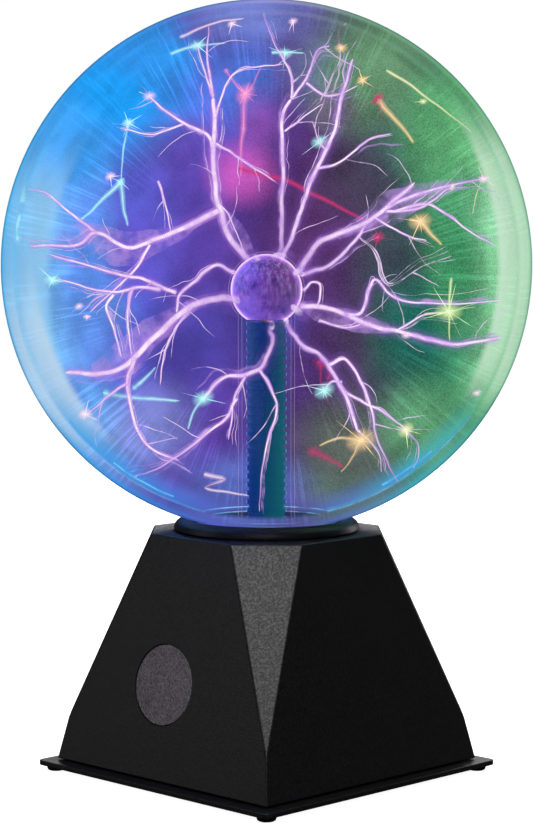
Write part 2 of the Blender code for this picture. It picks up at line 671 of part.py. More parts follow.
def build_small_parts(black, sleeve, red, ferrite, tan):
    """Capacitors, choke, control chip and resistors."""
    for name, radius, tall, x, y in (("capacitor_large", 5.0, 16.0, 13.0, -14.0),
                                     ("capacitor_small", 4.0, 12.0, 0.0, -17.0)):
        top = DECK + tall
        turned(name, [(0.0, top), (radius - 0.6, top), (radius, top - 0.6),
                      (radius, DECK + 2.0), (radius - 0.3, DECK + 1.6), (radius, DECK + 1.2),
                      (radius, DECK), (0.0, DECK)], sleeve, (x, y, 0.0))
    box_between("film_capacitor", (-19.5, -21.0, DECK), (-8.5, -16.0, DECK + 9.0), red)
    chip = box_between("driver_chip", (-6.8, 6.8, DECK + 0.8), (2.8, 13.2, DECK + 4.2), black)
    for side in (-1, 1):
        for number in range(4):
            x = -2.0 + (number - 1.5) * 2.54
            y = 10.0 + side * 3.4
            join(chip, box_between(f"pin_{side}_{number}", (x - 0.3, y - 0.4, DECK),
                                   (x + 0.3, y + 0.4, DECK + 2.2)))
    ring = bmesh.new()
    bmesh.ops.create_circle(ring, cap_ends=False, radius=2.3 * MM, segments=SMALL_ROUND)
    turn = Matrix.Translation(Vector((5.5, 0.0, 0.0)) * MM)
    bmesh.ops.rotate(ring, verts=ring.verts, cent=(0.0, 0.0, 0.0),
                     matrix=Matrix.Rotation(math.pi / 2, 3, "X"))
    bmesh.ops.transform(ring, matrix=turn, verts=ring.verts)
    bmesh.ops.spin(ring, geom=ring.verts[:] + ring.edges[:], cent=(0.0, 0.0, 0.0),
                   axis=(0.0, 0.0, 1.0), angle=2 * math.pi, steps=ROUND, use_merge=True)
    bmesh.ops.recalc_face_normals(ring, faces=ring.faces)
    add_object("choke", mesh_from("choke", ring), ferrite, (11.0, 9.5, DECK + 2.4))
    for number, y in enumerate((8.5, 13.0), start=1):
        made = turned(f"resistor_{number}",
                      [(0.0, 5.0), (0.35, 5.0), (0.35, 3.4), (1.2, 3.2), (1.2, 1.8), (1.0, 1.5),
                       (1.0, -1.5), (1.2, -1.8), (1.2, -3.2), (0.35, -3.4), (0.35, -5.0),
                       (0.0, -5.0)], tan, (-17.0, y, DECK + 1.3), steps=SMALL_ROUND)
        made.rotation_euler = (0.0, math.pi / 2, 0.0)


def build_leads(red, black, white):
    lead("hv_lead", [(-17.5, 3.6, 28.3), (-17.0, 4.6, 31.5), (-13.0, 5.5, 35.5),
                     (-7.0, 4.0, 37.5), (-2.2, 1.2, 36.6), (-0.2, 0.1, 38.2),
                     (0.0, 0.0, 40.6)], 1.1, red)
    lead("power_lead", [(-14.0, 24.5, 12.0), (-14.0, 21.8, 12.4), (-13.8, 19.2, 12.0),
                        (-13.5, 17.9, 11.0), (-13.5, 17.6, 9.95)], 0.8, black)
    lead("switch_lead", [(14.0, 16.6, 20.8), (14.4, 15.9, 18.5), (15.5, 17.0, 14.5),
                         (16.0, 18.5, 11.8), (16.0, 18.8, 9.95)], 0.8, red)
    lead("audio_lead", [(0.0, 28.4, 12.8), (0.0, 25.5, 12.7), (0.0, 22.5, 12.3),
                        (0.0, 20.6, 11.3), (0.0, 20.2, 9.95)], 0.7, white)


def main():
    for leftover in list(bpy.data.objects):
        bpy.data.objects.remove(leftover)
    bpy.context.scene.collection.children.link(MODEL)
    bpy.context.scene.collection.children.link(CUTTERS)
    glass = material("clear_glass", (0.85, 0.9, 0.95), 0.03, transmission=1.0)
    black = material("black_plastic", (0.02, 0.02, 0.023), 0.5)
    collar = material("collar_black", (0.016, 0.016, 0.018), 0.35)
    inlay = material("inlay_grey", (0.14, 0.135, 0.14), 0.6)
    blue = material("blue_sleeve", (0.02, 0.12, 0.35), 0.4)
    electrode = material("electrode_coat", (0.35, 0.3, 0.5), 0.3, metallic=0.8)
    brass = material("brass", (0.7, 0.52, 0.25), 0.3, metallic=1.0)
    rubber = material("rubber", (0.03, 0.03, 0.03), 0.8)
    steel = material("steel", (0.6, 0.6, 0.6), 0.35, metallic=1.0)
    board = material("board_green", (0.02, 0.16, 0.07), 0.5)
    ferrite = material("ferrite", (0.06, 0.06, 0.065), 0.7)
    copper = material("copper_wire", (0.65, 0.28, 0.12), 0.35, metallic=1.0)
    tape = material("yellow_tape", (0.7, 0.5, 0.05), 0.5)
    white = material("white_nylon", (0.8, 0.8, 0.76), 0.5)
    aluminium = material("aluminium", (0.75, 0.75, 0.77), 0.4, metallic=1.0)
    sleeve = material("capacitor_sleeve", (0.03, 0.05, 0.16), 0.4)
    red = material("red_film", (0.5, 0.04, 0.03), 0.45)
    tan = material("resistor_tan", (0.6, 0.45, 0.28), 0.5)

    build_globe(glass)
    build_stem(glass, electrode, blue, brass)
    build_collar(collar, rubber, steel)
    build_housing(black)
    build_badge(inlay)
    build_plate(black, rubber, steel)
    build_switch(black, brass)
    build_jack(black, steel)
    build_board(board, steel)
    build_transformer(ferrite, white, copper, tape)
    build_power_stage(aluminium, black, steel)
    build_small_parts(black, sleeve, red, ferrite, tan)
    build_leads(red, black, white)


main()
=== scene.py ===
"""Looks of a desk plasma lamp: glowing gas and streamers in a glass globe on a tapered black base."""
import json
import math
import random

import bmesh
import bpy
from mathutils import Matrix, Vector, noise

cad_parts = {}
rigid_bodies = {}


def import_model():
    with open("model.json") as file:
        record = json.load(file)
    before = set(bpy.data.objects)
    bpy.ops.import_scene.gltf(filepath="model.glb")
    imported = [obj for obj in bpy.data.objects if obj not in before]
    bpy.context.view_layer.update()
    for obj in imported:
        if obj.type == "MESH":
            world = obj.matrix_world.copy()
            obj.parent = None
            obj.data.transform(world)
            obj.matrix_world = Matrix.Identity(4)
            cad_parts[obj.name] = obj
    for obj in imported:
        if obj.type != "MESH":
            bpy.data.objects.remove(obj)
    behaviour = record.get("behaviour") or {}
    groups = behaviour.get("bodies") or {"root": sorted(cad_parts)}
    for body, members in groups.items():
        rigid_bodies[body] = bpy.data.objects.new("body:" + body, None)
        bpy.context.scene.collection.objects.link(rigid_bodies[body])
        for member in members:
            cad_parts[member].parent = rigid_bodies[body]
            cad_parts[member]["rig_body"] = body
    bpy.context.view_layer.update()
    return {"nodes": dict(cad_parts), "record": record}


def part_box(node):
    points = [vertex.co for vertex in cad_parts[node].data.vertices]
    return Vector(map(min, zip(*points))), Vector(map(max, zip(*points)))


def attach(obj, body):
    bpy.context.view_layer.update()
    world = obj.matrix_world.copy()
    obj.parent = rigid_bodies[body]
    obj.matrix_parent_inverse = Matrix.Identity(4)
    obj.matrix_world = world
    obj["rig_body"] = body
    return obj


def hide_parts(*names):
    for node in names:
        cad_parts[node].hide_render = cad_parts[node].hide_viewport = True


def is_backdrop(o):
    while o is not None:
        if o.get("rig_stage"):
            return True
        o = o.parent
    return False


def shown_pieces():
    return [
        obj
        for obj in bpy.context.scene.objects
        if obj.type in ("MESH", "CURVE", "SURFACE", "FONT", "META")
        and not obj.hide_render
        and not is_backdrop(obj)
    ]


MM = 0.001
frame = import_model()

# The lamp's own sizes, from its parts
GLOBE_LOW, GLOBE_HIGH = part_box("glass_globe")
GLOBE_RADIUS = (GLOBE_HIGH.x - GLOBE_LOW.x) / 2
CENTRE = Vector((0.0, 0.0, GLOBE_HIGH.z - GLOBE_RADIUS))
HOUSING_LOW, HOUSING_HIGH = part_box("base_housing")
BASE_TOP = HOUSING_HIGH.z
STEM_LOW, STEM_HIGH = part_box("glass_stem")
STEM_RADIUS = 7.0 * MM
STEM_WALL = 0.9 * MM
BULB_RADIUS = 9.4 * MM
BULB_WALL = 0.5 * MM
COAT_GAP = 0.1 * MM
COAT_WALL = 0.5 * MM
COAT_MOUTH = 5.0 * MM
NECK_RADIUS = 15.0 * MM
SHOULDER_RADIUS = 18.0 * MM
SHOULDER_BORE = 16.6 * MM
RIDGE_PITCH = 2.1 * MM
BULB = Vector((0.0, 0.0, STEM_HIGH.z - BULB_RADIUS))
GLASS_WALL = 1.0 * MM
TOP_HALF = 26.0 * MM
TAPER = (HOUSING_HIGH.x - TOP_HALF) / (HOUSING_HIGH.z - HOUSING_LOW.z)

# The camera stands off the lamp's front right corner; the gas is laid out as seen from there
RIGHT = Vector((1.0, 1.0, 0.0)).normalized()
AWAY = Vector((-1.0, 1.0, 0.0)).normalized()
UP = Vector((0.0, 0.0, 1.0))
EYE_DISTANCE = 9.43
EYE_RISE = 0.21
LENS = 108.9
PITCH = 0.0804

GAS_RADIUS = GLOBE_RADIUS - GLASS_WALL - 0.1 * MM
# Finishes whose names start so are clear or glow, and the softboxes pass them by
UNLIT = ("clear_glass", "tube_glass", "glowing_gas", "streamer", "glint", "veil")
# Where the streamers start and end, in globe radii: the heart, its reach, and the wall
HEART = (0.02, -0.09)
HEART_REACH = 0.12
TOUCH = 0.955
SPOKES = 62.0
# Without a seed of its own, the streamers' wander would change from run to run
WANDER_SEED = 3
STAR_OFFSETS = (0.0, 0.15, 0.4, 0.7, 1.0)
STAR_RADII = [0.20, 0.17, 0.12, 0.07, 0.02]


# ---------------------------------------------------------------- shapes

def add_piece(name, shape, finish, smooth=40.0, body="root"):
    """Make a bmesh a piece of the lamp that rides on a body."""
    mesh = bpy.data.meshes.new(name)
    shape.to_mesh(mesh)
    shape.free()
    mesh.shade_smooth()
    if smooth < 180.0:
        mesh.set_sharp_from_angle(angle=math.radians(smooth))
    mesh.materials.append(finish)
    piece = bpy.data.objects.new(name, mesh)
    bpy.context.scene.collection.objects.link(piece)
    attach(piece, body)
    return piece


def turned(profile, steps=128, place=None):
    """Turn a closed or axis-to-axis (radius, height) profile in metres round Z."""
    shape = bmesh.new()
    points = [shape.verts.new((radius, 0.0, height)) for radius, height in profile]
    for first, second in zip(points, points[1:]):
        shape.edges.new((first, second))
    if profile[0][0] > 0.0 or profile[-1][0] > 0.0:
        shape.edges.new((points[-1], points[0]))
    bmesh.ops.spin(shape, geom=shape.verts[:] + shape.edges[:], cent=(0.0, 0.0, 0.0),
                   axis=(0.0, 0.0, 1.0), angle=math.tau, steps=steps, use_merge=True)
    bmesh.ops.remove_doubles(shape, verts=shape.verts, dist=0.000001)
    bmesh.ops.recalc_face_normals(shape, faces=shape.faces)
    if place is not None:
        bmesh.ops.transform(shape, matrix=place, verts=shape.verts)
    return shape


def arc(radius, centre_z, start, end, count):
    """Points (radius, height) on a circle about the axis, with angles from the top."""
    angles = [start + (end - start) * step / count for step in range(count + 1)]
    return [(radius * math.sin(angle), centre_z + radius * math.cos(angle)) for angle in angles]


def closed_on_axis(points):
    """Put a profile's ends exactly on the axis."""
    return [(0.0, points[0][1])] + points[1:-1] + [(0.0, points[-1][1])]


def eased(points, per_span):
    """Points on a smooth curve through the given ones."""
    route = [Vector(point) for point in points]
    route = [2 * route[0] - route[1]] + route + [2 * route[-1] - route[-2]]
    made = []
    for before, first, second, after in zip(route, route[1:], route[2:], route[3:]):
        for step in range(per_span):
            t = step / per_span
            made.append(0.5 * (2 * first + (second - before) * t
                               + (2 * before - 5 * first + 4 * second - after) * t ** 2
                               + (3 * first - before - 3 * second + after) * t ** 3))
    return made + [route[-2]]


def eased_profile(points, per_span):
    """(Radius, height) points on a smooth curve through the given ones."""
    return [tuple(point) for point in eased(points, per_span)]


def softened(node, name, finish, width, chosen, segments=3):
    """A copy of a CAD node with its chosen edges rounded, which stands for the node."""
    source = frame["nodes"][node]
    shape = bmesh.new()
    shape.from_mesh(source.data)
    bmesh.ops.remove_doubles(shape, verts=shape.verts, dist=0.000002)
    bmesh.ops.dissolve_limit(shape, angle_limit=math.radians(0.4), verts=shape.verts,
                             edges=shape.edges, delimit={"NORMAL"})
    edges = [edge for edge in shape.edges if len(edge.link_faces) == 2
             and edge.calc_face_angle(0.0) > math.radians(12.0) and chosen(edge)]
    bmesh.ops.bevel(shape, geom=edges, offset=width, segments=segments, profile=0.5,
                    affect="EDGES", clamp_overlap=False, material=-1)
    body = source["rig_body"]
    piece = add_piece(name, shape, finish, smooth=50.0, body=body)
    even = piece.modifiers.new("even_shading", "WEIGHTED_NORMAL")
    even.mode = "FACE_AREA"
    even.weight = 100
    even.keep_sharp = True
    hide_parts(node)
    return piece


# ---------------------------------------------------------------- node helpers

def tone(red, green, blue):
    """A display colour as the linear value that shaders take."""
    linear = [c / 12.92 if c <= 0.04045 else ((c + 0.055) / 1.055) ** 2.4
              for c in (red, green, blue)]
    return (*linear, 1.0)


def join(tree, value, socket):
    """Feed a socket from another socket, or set it."""
    if isinstance(value, bpy.types.NodeSocket):
        tree.links.new(value, socket)
    elif value is not None:
        socket.default_value = value


def maths(tree, operation, first, second=None, third=None, clamp=False):
    """One operation on values or sockets."""
    made = tree.nodes.new("ShaderNodeMath")
    made.operation = operation
    made.use_clamp = clamp
    for value, socket in zip((first, second, third), made.inputs):
        join(tree, value, socket)
    return made.outputs[0]


def vector_maths(tree, operation, first, second=None, output="Vector"):
    """One operation on vectors; a length or a product comes out at Value."""
    made = tree.nodes.new("ShaderNodeVectorMath")
    made.operation = operation
    join(tree, first, made.inputs[0])
    join(tree, second, made.inputs[1])
    return made.outputs[output]


def between(tree, value, low, high, out_low=0.0, out_high=1.0, soft=True):
    """Map a value's range to another one, clamped."""
    made = tree.nodes.new("ShaderNodeMapRange")
    made.interpolation_type = "SMOOTHSTEP" if soft else "LINEAR"
    for value_in, name in ((value, "Value"), (low, "From Min"), (high, "From Max"),
                           (out_low, "To Min"), (out_high, "To Max")):
        join(tree, value_in, made.inputs[name])
    return made.outputs["Result"]


def blend_colours(tree, share, first, second, mode="MIX"):
    made = tree.nodes.new("ShaderNodeMix")
    made.data_type = "RGBA"
    made.blend_type = mode
    join(tree, share, made.inputs["Factor"])
    join(tree, first, made.inputs[6])
    join(tree, second, made.inputs[7])
    return made.outputs[2]


def ramp(tree, value, stops):
    """Colours along a value from 0 to 1."""
    made = tree.nodes.new("ShaderNodeValToRGB")
    elements = made.color_ramp.elements
    while len(elements) < len(stops):
        elements.new(0.5)
    for element, (position, colour) in zip(elements, stops):
        element.position = position
        element.color = colour
    join(tree, value, made.inputs["Fac"])
    return made.outputs["Color"]


def colours_across(tree, across, stops):
    """Colours from the left of the globe, at -1, to its right, at 1."""
    shades = [(position, tone(*shade)) for position, shade in stops]
    return ramp(tree, maths(tree, "MULTIPLY_ADD", across, 0.5, 0.5), shades)


def grey_of(tree, value):
    """A value as a grey, to multiply a colour by."""
    made = tree.nodes.new("ShaderNodeCombineXYZ")
    for socket in made.inputs:
        tree.links.new(value, socket)
    return made.outputs[0]


def noise_of(tree, vector, scale, detail=2.0, roughness=0.5):
    made = tree.nodes.new("ShaderNodeTexNoise")
    made.inputs["Scale"].default_value = scale
    made.inputs["Detail"].default_value = detail
    made.inputs["Roughness"].default_value = roughness
    join(tree, vector, made.inputs["Vector"])
    return made.outputs["Fac"]


def object_place(tree):
    return tree.nodes.new("ShaderNodeTexCoord").outputs["Object"]


def facing_of(tree):
    """0 where a surface faces the eye, and 1 at its outline."""
    made = tree.nodes.new("ShaderNodeLayerWeight")
    made.inputs["Blend"].default_value = 0.5
    return made.outputs["Facing"]


def shader_of(tree, kind, **values):
    """A plain shader with the given values or links on its sockets."""
    made = tree.nodes.new("ShaderNode" + kind)
    for name, value in values.items():
        join(tree, value, made.inputs[name])
    return made.outputs[0]


def mix_shaders(tree, share, first, second):
    made = tree.nodes.new("ShaderNodeMixShader")
    for value, socket in zip((share, first, second), made.inputs):
        tree.links.new(value, socket)
    return made.outputs[0]


def show_camera(tree, out, others, shown):
    """Show one shader to the camera, and another to all that it lights or is mirrored in."""
    path = tree.nodes.new("ShaderNodeLightPath")
    mixed = mix_shaders(tree, path.outputs["Is Camera Ray"], others, shown)
    tree.links.new(mixed, out.inputs["Surface"])


def new_group(name, inputs, outputs):
    """A node group with float, vector or colour sockets; gives the tree and its two ends."""
    group = bpy.data.node_groups.new(name, "ShaderNodeTree")
    for label, kind in inputs:
        group.interface.new_socket(label, in_out="INPUT", socket_type="NodeSocket" + kind)
    for label, kind in outputs:
        group.interface.new_socket(label, in_out="OUTPUT", socket_type="NodeSocket" + kind)
    return group, group.nodes.new("NodeGroupInput"), group.nodes.new("NodeGroupOutput")


def use_group(tree, group, **values):
    made = tree.nodes.new("ShaderNodeGroup")
    made.node_tree = group
    for name, value in values.items():
        join(tree, value, made.inputs[name.replace("_", " ")])
    return made.outputs


def new_material(name, colour=(0.5, 0.5, 0.5, 1.0), roughness=0.5, metallic=0.0, specular=0.5):
    """A Principled material; gives the material, its tree and its shader."""
    made = bpy.data.materials.new(name)
    made.use_nodes = True
    shader = made.node_tree.nodes["Principled BSDF"]
    shader.inputs["Base Color"].default_value = colour
    shader.inputs["Roughness"].default_value = roughness
    shader.inputs["Metallic"].default_value = metallic
    shader.inputs["Specular IOR Level"].default_value = specular
    made.diffuse_color = colour
    return made, made.node_tree, shader


def bare_material(name):
    """A material without a shader; gives the material, its tree and its output."""
    made = bpy.data.materials.new(name)
    made.use_nodes = True
    made.node_tree.nodes.clear()
    return made, made.node_tree, made.node_tree.nodes.new("ShaderNodeOutputMaterial")


def add_bump(tree, shader, height, strength, distance):
    made = tree.nodes.new("ShaderNodeBump")
    made.inputs["Strength"].default_value = strength
    made.inputs["Distance"].default_value = distance
    join(tree, height, made.inputs["Height"])
    tree.links.new(made.outputs["Normal"], shader.inputs["Normal"])


# ---------------------------------------------------------------- shared effects

def build_grain_group():
    """Moulded grain: a height for bump and roughness, and a slow mottle for colour."""
    group, start, end = new_group("moulded_grain", [("Fineness", "Float")],
                                  [("Height", "Float"), ("Mottle", "Float")])
    place = object_place(group)
    fine = group.nodes.new("ShaderNodeTexNoise")
    fine.inputs["Detail"].default_value = 3.0
    fine.inputs["Roughness"].default_value = 0.65
    group.links.new(place, fine.inputs["Vector"])
    group.links.new(start.outputs["Fineness"], fine.inputs["Scale"])
    slow = noise_of(group, place, 60.0, detail=4.0, roughness=0.6)
    group.links.new(fine.outputs["Fac"], end.inputs["Height"])
    group.links.new(slow, end.inputs["Mottle"])
    return group


def build_axes_group():
    """Places in the globe in globe radii: across and up as seen from the camera's corner."""
    group, _, end = new_group("globe_axes", [], [("Across", "Float"), ("Up", "Float"),
                                                 ("Reach", "Float"), ("Flat", "Vector")])
    offset = vector_maths(group, "SUBTRACT", object_place(group), tuple(CENTRE))
    flat = group.nodes.new("ShaderNodeCombineXYZ")
    for axis, label, socket in ((RIGHT, "Across", "X"), (UP, "Up", "Y")):
        value = vector_maths(group, "DOT_PRODUCT", offset, tuple(axis / GLOBE_RADIUS), "Value")
        group.links.new(value, end.inputs[label])
        group.links.new(value, flat.inputs[socket])
    group.links.new(vector_maths(group, "LENGTH", flat.outputs[0], output="Value"),
                    end.inputs["Reach"])
    group.links.new(flat.outputs[0], end.inputs["Flat"])
    return group


# Soft clouds of colour in the gas: across, up, half width, half height, colour, strength
CLOUDS = (
    (-0.26, 0.66, 0.34, 0.30, (0.33, 0.46, 0.90), 0.9),
    (-0.60, 0.66, 0.42, 0.34, (0.12, 0.62, 0.97), 1.0),
    (-0.42, 0.82, 0.26, 0.16, (0.18, 0.60, 0.94), 0.9),
    (-0.76, 0.44, 0.22, 0.26, (0.22, 0.62, 0.95), 0.9),
    (-0.06, 0.95, 0.36, 0.14, (0.48, 0.54, 0.86), 0.9),
    (-0.08, 0.76, 0.22, 0.20, (0.32, 0.46, 0.84), 0.9),
    (0.16, 0.78, 0.20, 0.24, (0.39, 0.37, 0.62), 0.9),
    (0.42, 0.76, 0.36, 0.34, (0.40, 0.58, 0.44), 1.0),
    (0.72, 0.52, 0.28, 0.34, (0.38, 0.68, 0.46), 0.9),
    (-0.28, 0.46, 0.30, 0.20, (0.38, 0.29, 0.70), 0.9),
    (0.00, 0.52, 0.14, 0.16, (0.36, 0.24, 0.55), 0.7),
    (0.27, 0.62, 0.14, 0.14, (0.44, 0.40, 0.50), 0.9),
    (0.34, -0.87, 0.34, 0.16, (0.36, 0.48, 0.44), 0.9),
    (0.20, 0.14, 0.36, 0.42, (0.33, 0.19, 0.40), 0.9),
    (0.38, 0.32, 0.26, 0.20, (0.27, 0.24, 0.33), 0.8),
    (0.50, -0.02, 0.22, 0.26, (0.24, 0.28, 0.33), 0.9),
    (0.62, -0.28, 0.26, 0.32, (0.13, 0.42, 0.38), 1.0),
    (0.76, 0.00, 0.15, 0.50, (0.26, 0.58, 0.40), 1.0),
    (0.32, -0.72, 0.30, 0.26, (0.36, 0.40, 0.38), 1.0),
    (0.62, -0.66, 0.26, 0.26, (0.38, 0.64, 0.46), 0.9),
    (-0.30, -0.30, 0.34, 0.34, (0.27, 0.26, 0.63), 0.7),
    (0.02, -0.22, 0.20, 0.26, (0.20, 0.24, 0.60), 0.7),
    (-0.10, -0.88, 0.36, 0.18, (0.36, 0.44, 0.76), 0.9),
    (-0.66, -0.70, 0.24, 0.26, (0.38, 0.70, 0.94), 0.9),
    (-0.48, -0.66, 0.28, 0.26, (0.50, 0.53, 0.82), 0.9),
    (-0.10, 0.36, 0.20, 0.18, (0.86, 0.38, 0.78), 0.75),
    (-0.04, 0.56, 0.12, 0.20, (0.62, 0.34, 0.74), 0.5),
    (-0.72, 0.00, 0.18, 0.44, (0.36, 0.56, 0.92), 0.95),
    (-0.52, 0.04, 0.20, 0.26, (0.38, 0.33, 0.78), 0.9),
)
# Painted reflections, as pale crescents inside the wall: side, centre across and up, reaches,
# two heights at each end where they fade, colour, strength
REFLECTION_CRESCENTS = (
    (-0.4, 0.16, -0.06, 1.010, 1.045, (0.20, 0.55), (-0.78, -0.60), (0.62, 0.83, 0.97), 0.56),
    (-0.4, 0.10, 0.04, 1.000, 1.030, (-0.30, 0.10), (-0.74, -0.58), (0.80, 0.87, 0.92), 0.66),
    (0.4, -0.12, 0.00, 1.020, 1.045, (0.38, 0.64), (-0.58, -0.34), (0.80, 0.92, 0.82), 0.88),
)
# Colours of the gas from the left of the globe to its right
GAS_STOPS = (
    (0.00, (0.28, 0.70, 0.96)), (0.08, (0.48, 0.75, 0.96)), (0.15, (0.40, 0.60, 0.93)),
    (0.22, (0.36, 0.38, 0.83)), (0.30, (0.37, 0.29, 0.71)), (0.41, (0.36, 0.25, 0.63)),
    (0.51, (0.33, 0.21, 0.53)), (0.61, (0.31, 0.20, 0.42)), (0.70, (0.29, 0.24, 0.36)),
    (0.78, (0.23, 0.36, 0.35)), (0.86, (0.28, 0.57, 0.39)), (0.93, (0.50, 0.78, 0.58)),
    (1.00, (0.60, 0.84, 0.68)),
)
# Colours by the globe's outline from left to right, in its lower part and above
LOW_RIM_STOPS = (
    (0.10, (0.30, 0.68, 0.92)), (0.25, (0.16, 0.58, 0.93)), (0.40, (0.34, 0.40, 0.80)),
    (0.52, (0.34, 0.32, 0.62)), (0.66, (0.36, 0.50, 0.78)), (0.78, (0.24, 0.72, 0.82)),
    (0.90, (0.30, 0.70, 0.62)),
)
HIGH_RIM_STOPS = (
    (0.00, (0.30, 0.78, 0.97)), (0.15, (0.20, 0.66, 0.95)), (0.34, (0.30, 0.62, 0.93)),
    (0.52, (0.74, 0.70, 0.92)), (0.68, (0.56, 0.78, 0.64)), (0.85, (0.46, 0.78, 0.58)),
    (1.00, (0.62, 0.86, 0.70)),
)
# The two bands: reaches where each comes in, strength, heights where it comes in, colours
RIM_BANDS = (
    (0.91, 0.985, 0.9, -0.42, -0.66, LOW_RIM_STOPS),
    (0.955, 0.985, 0.65, -0.50, -0.30, HIGH_RIM_STOPS),
)


def build_gas_group(axes_group):
    """The gas's colour over the globe's wall, with its speckle, fine spokes and pale crescents of
    painted reflection.
    """
    group, _, end = new_group("gas_colours", [], [("Colour", "Color"), ("Shown", "Float")])
    axes = use_group(group, axes_group)
    place = object_place(group)
    drift = noise_of(group, place, 28.0, detail=3.0)
    flat = axes["Flat"]
    across = maths(group, "ADD", axes["Across"], between(group, drift, 0.2, 0.8, -0.08, 0.08))
    colour = colours_across(group, across, GAS_STOPS)
    for mid_across, mid_up, wide, tall, shade, strength in CLOUDS:
        offset = vector_maths(group, "SUBTRACT", flat, (mid_across, mid_up, 0.0))
        scaled = vector_maths(group, "DIVIDE", offset, (wide, tall, 1.0))
        reach = vector_maths(group, "LENGTH", scaled, output="Value")
        share = between(group, reach, 1.0, 0.15, 0.0, strength)
        colour = blend_colours(group, share, colour, tone(*shade))

    speckle = noise_of(group, place, 2300.0, detail=1.0, roughness=0.7)
    grit = between(group, speckle, 0.36, 0.64, -0.5, 0.5, soft=False)
    grit_share = between(group, axes["Across"], -0.3, 0.4, 0.16, 0.46)
    spoke_way = vector_maths(group, "NORMALIZE", vector_maths(group, "SUBTRACT", flat,
                                                              (*HEART, 0.0)))
    spoke_place = vector_maths(group, "MULTIPLY", spoke_way, (SPOKES, SPOKES, 0.0))
    away = group.nodes.new("ShaderNodeCombineXYZ")
    group.links.new(maths(group, "MULTIPLY", axes["Reach"], 3.0), away.inputs["Z"])
    spoke_place = vector_maths(group, "ADD", spoke_place, away.outputs[0])
    streaks = noise_of(group, spoke_place, 1.0, detail=2.0, roughness=0.7)
    streak = between(group, streaks, 0.46, 0.66, -0.05, 0.75)
    patches = noise_of(group, flat, 4.5, detail=1.0)
    streak_share = maths(group, "MULTIPLY", between(group, patches, 0.40, 0.62),
                         between(group, axes["Reach"], 0.45, 0.80, 0.0, 0.55))
    cloudy = between(group, noise_of(group, place, 75.0, detail=4.0), 0.3, 0.7, -0.20, 0.16)
    change = maths(group, "MULTIPLY", grit, grit_share)
    change = maths(group, "MULTIPLY_ADD", streak, streak_share, change)
    change = maths(group, "ADD", change, cloudy)
    level = grey_of(group, maths(group, "ADD", change, 1.0))
    colour = blend_colours(group, 1.0, colour, level, "MULTIPLY")
    # Painted reflections: pale crescents near the wall, blended into the gas colour
    for side, mid_across, mid_up, low, high, top, bottom, shade, strength in REFLECTION_CRESCENTS:
        offset = vector_maths(group, "SUBTRACT", flat, (mid_across, mid_up, 0.0))
        reach = vector_maths(group, "LENGTH", offset, output="Value")
        share = between(group, reach, low, high, 0.0, strength)
        half = between(group, axes["Across"], 0.0, side)
        fade = maths(group, "MULTIPLY", between(group, axes["Up"], top[1], top[0]),
                     between(group, axes["Up"], *bottom))
        share = maths(group, "MULTIPLY", share, maths(group, "MULTIPLY", half, fade))
        share = maths(group, "MULTIPLY", share,
                      between(group, axes["Reach"], 0.99, 0.90, 0.55, 1.0))
        colour = blend_colours(group, share, colour, tone(*shade))
    for low, high, strength, fade_from, fade_to, stops in RIM_BANDS:
        share = maths(group, "MULTIPLY",
                      between(group, axes["Reach"], low, high, 0.0, strength),
                      between(group, axes["Up"], fade_from, fade_to))
        band = colours_across(group, axes["Across"], stops)
        colour = blend_colours(group, share, colour, band)
    group.links.new(colour, end.inputs["Colour"])
    foot = between(group, axes["Up"], -0.965, -0.945)
    group.links.new(foot, end.inputs["Shown"])
    return group


def build_glow_group():
    """Soft-edged light: bright in the middle of a round shape and clear at its outline."""
    group, start, end = new_group(
        "soft_glow", [("Facing", "Float"), ("Core", "Color"), ("Edge", "Color"),
                      ("Softness", "Float"), ("Density", "Float")],
        [("Colour", "Color"), ("Alpha", "Float")])
    depth = maths(group, "SUBTRACT", 1.0, start.outputs["Facing"])
    shown = maths(group, "POWER", depth, start.outputs["Softness"])
    alpha = maths(group, "MULTIPLY", shown, start.outputs["Density"], clamp=True)
    share = between(group, depth, 0.25, 0.95)
    colour = blend_colours(group, share, start.outputs["Edge"], start.outputs["Core"])
    group.links.new(colour, end.inputs["Colour"])
    group.links.new(alpha, end.inputs["Alpha"])
    return group


# ---------------------------------------------------------------- finishes

def gas_finish(gas_group):
    """Gas that shows on the far inside of the globe only, so that what floats in it is seen."""
    made, tree, shader = new_material("glowing_gas", (0.0, 0.0, 0.0, 1.0), 0.6, specular=0.0)
    field = use_group(tree, gas_group)
    tree.links.new(field["Colour"], shader.inputs["Emission Color"])
    shader.inputs["Emission Strength"].default_value = 1.0
    back = tree.nodes.new("ShaderNodeNewGeometry").outputs["Backfacing"]
    tree.links.new(maths(tree, "MULTIPLY", back, field["Shown"]), shader.inputs["Alpha"])
    made.cycles.emission_sampling = "NONE"
    return made


def glow_finish(name, core, edge, strength, density=1.0, softness=1.0, patchy=False):
    """Light with soft edges, which may come and go along its length."""
    made, tree, shader = new_material(name, (0.0, 0.0, 0.0, 1.0), 0.6, specular=0.0)
    if patchy:
        wisps = noise_of(tree, object_place(tree), 210.0, detail=4.0, roughness=0.6)
        density = between(tree, wisps, 0.36, 0.66, density * 0.15, density * 1.5)
    glow = use_group(tree, GLOW_GROUP, Facing=facing_of(tree), Core=tone(*core),
                     Edge=tone(*edge), Softness=softness, Density=density)
    tree.links.new(glow["Colour"], shader.inputs["Emission Color"])
    tree.links.new(glow["Alpha"], shader.inputs["Alpha"])
    shader.inputs["Emission Strength"].default_value = strength
    made.cycles.emission_sampling = "NONE"
    return made


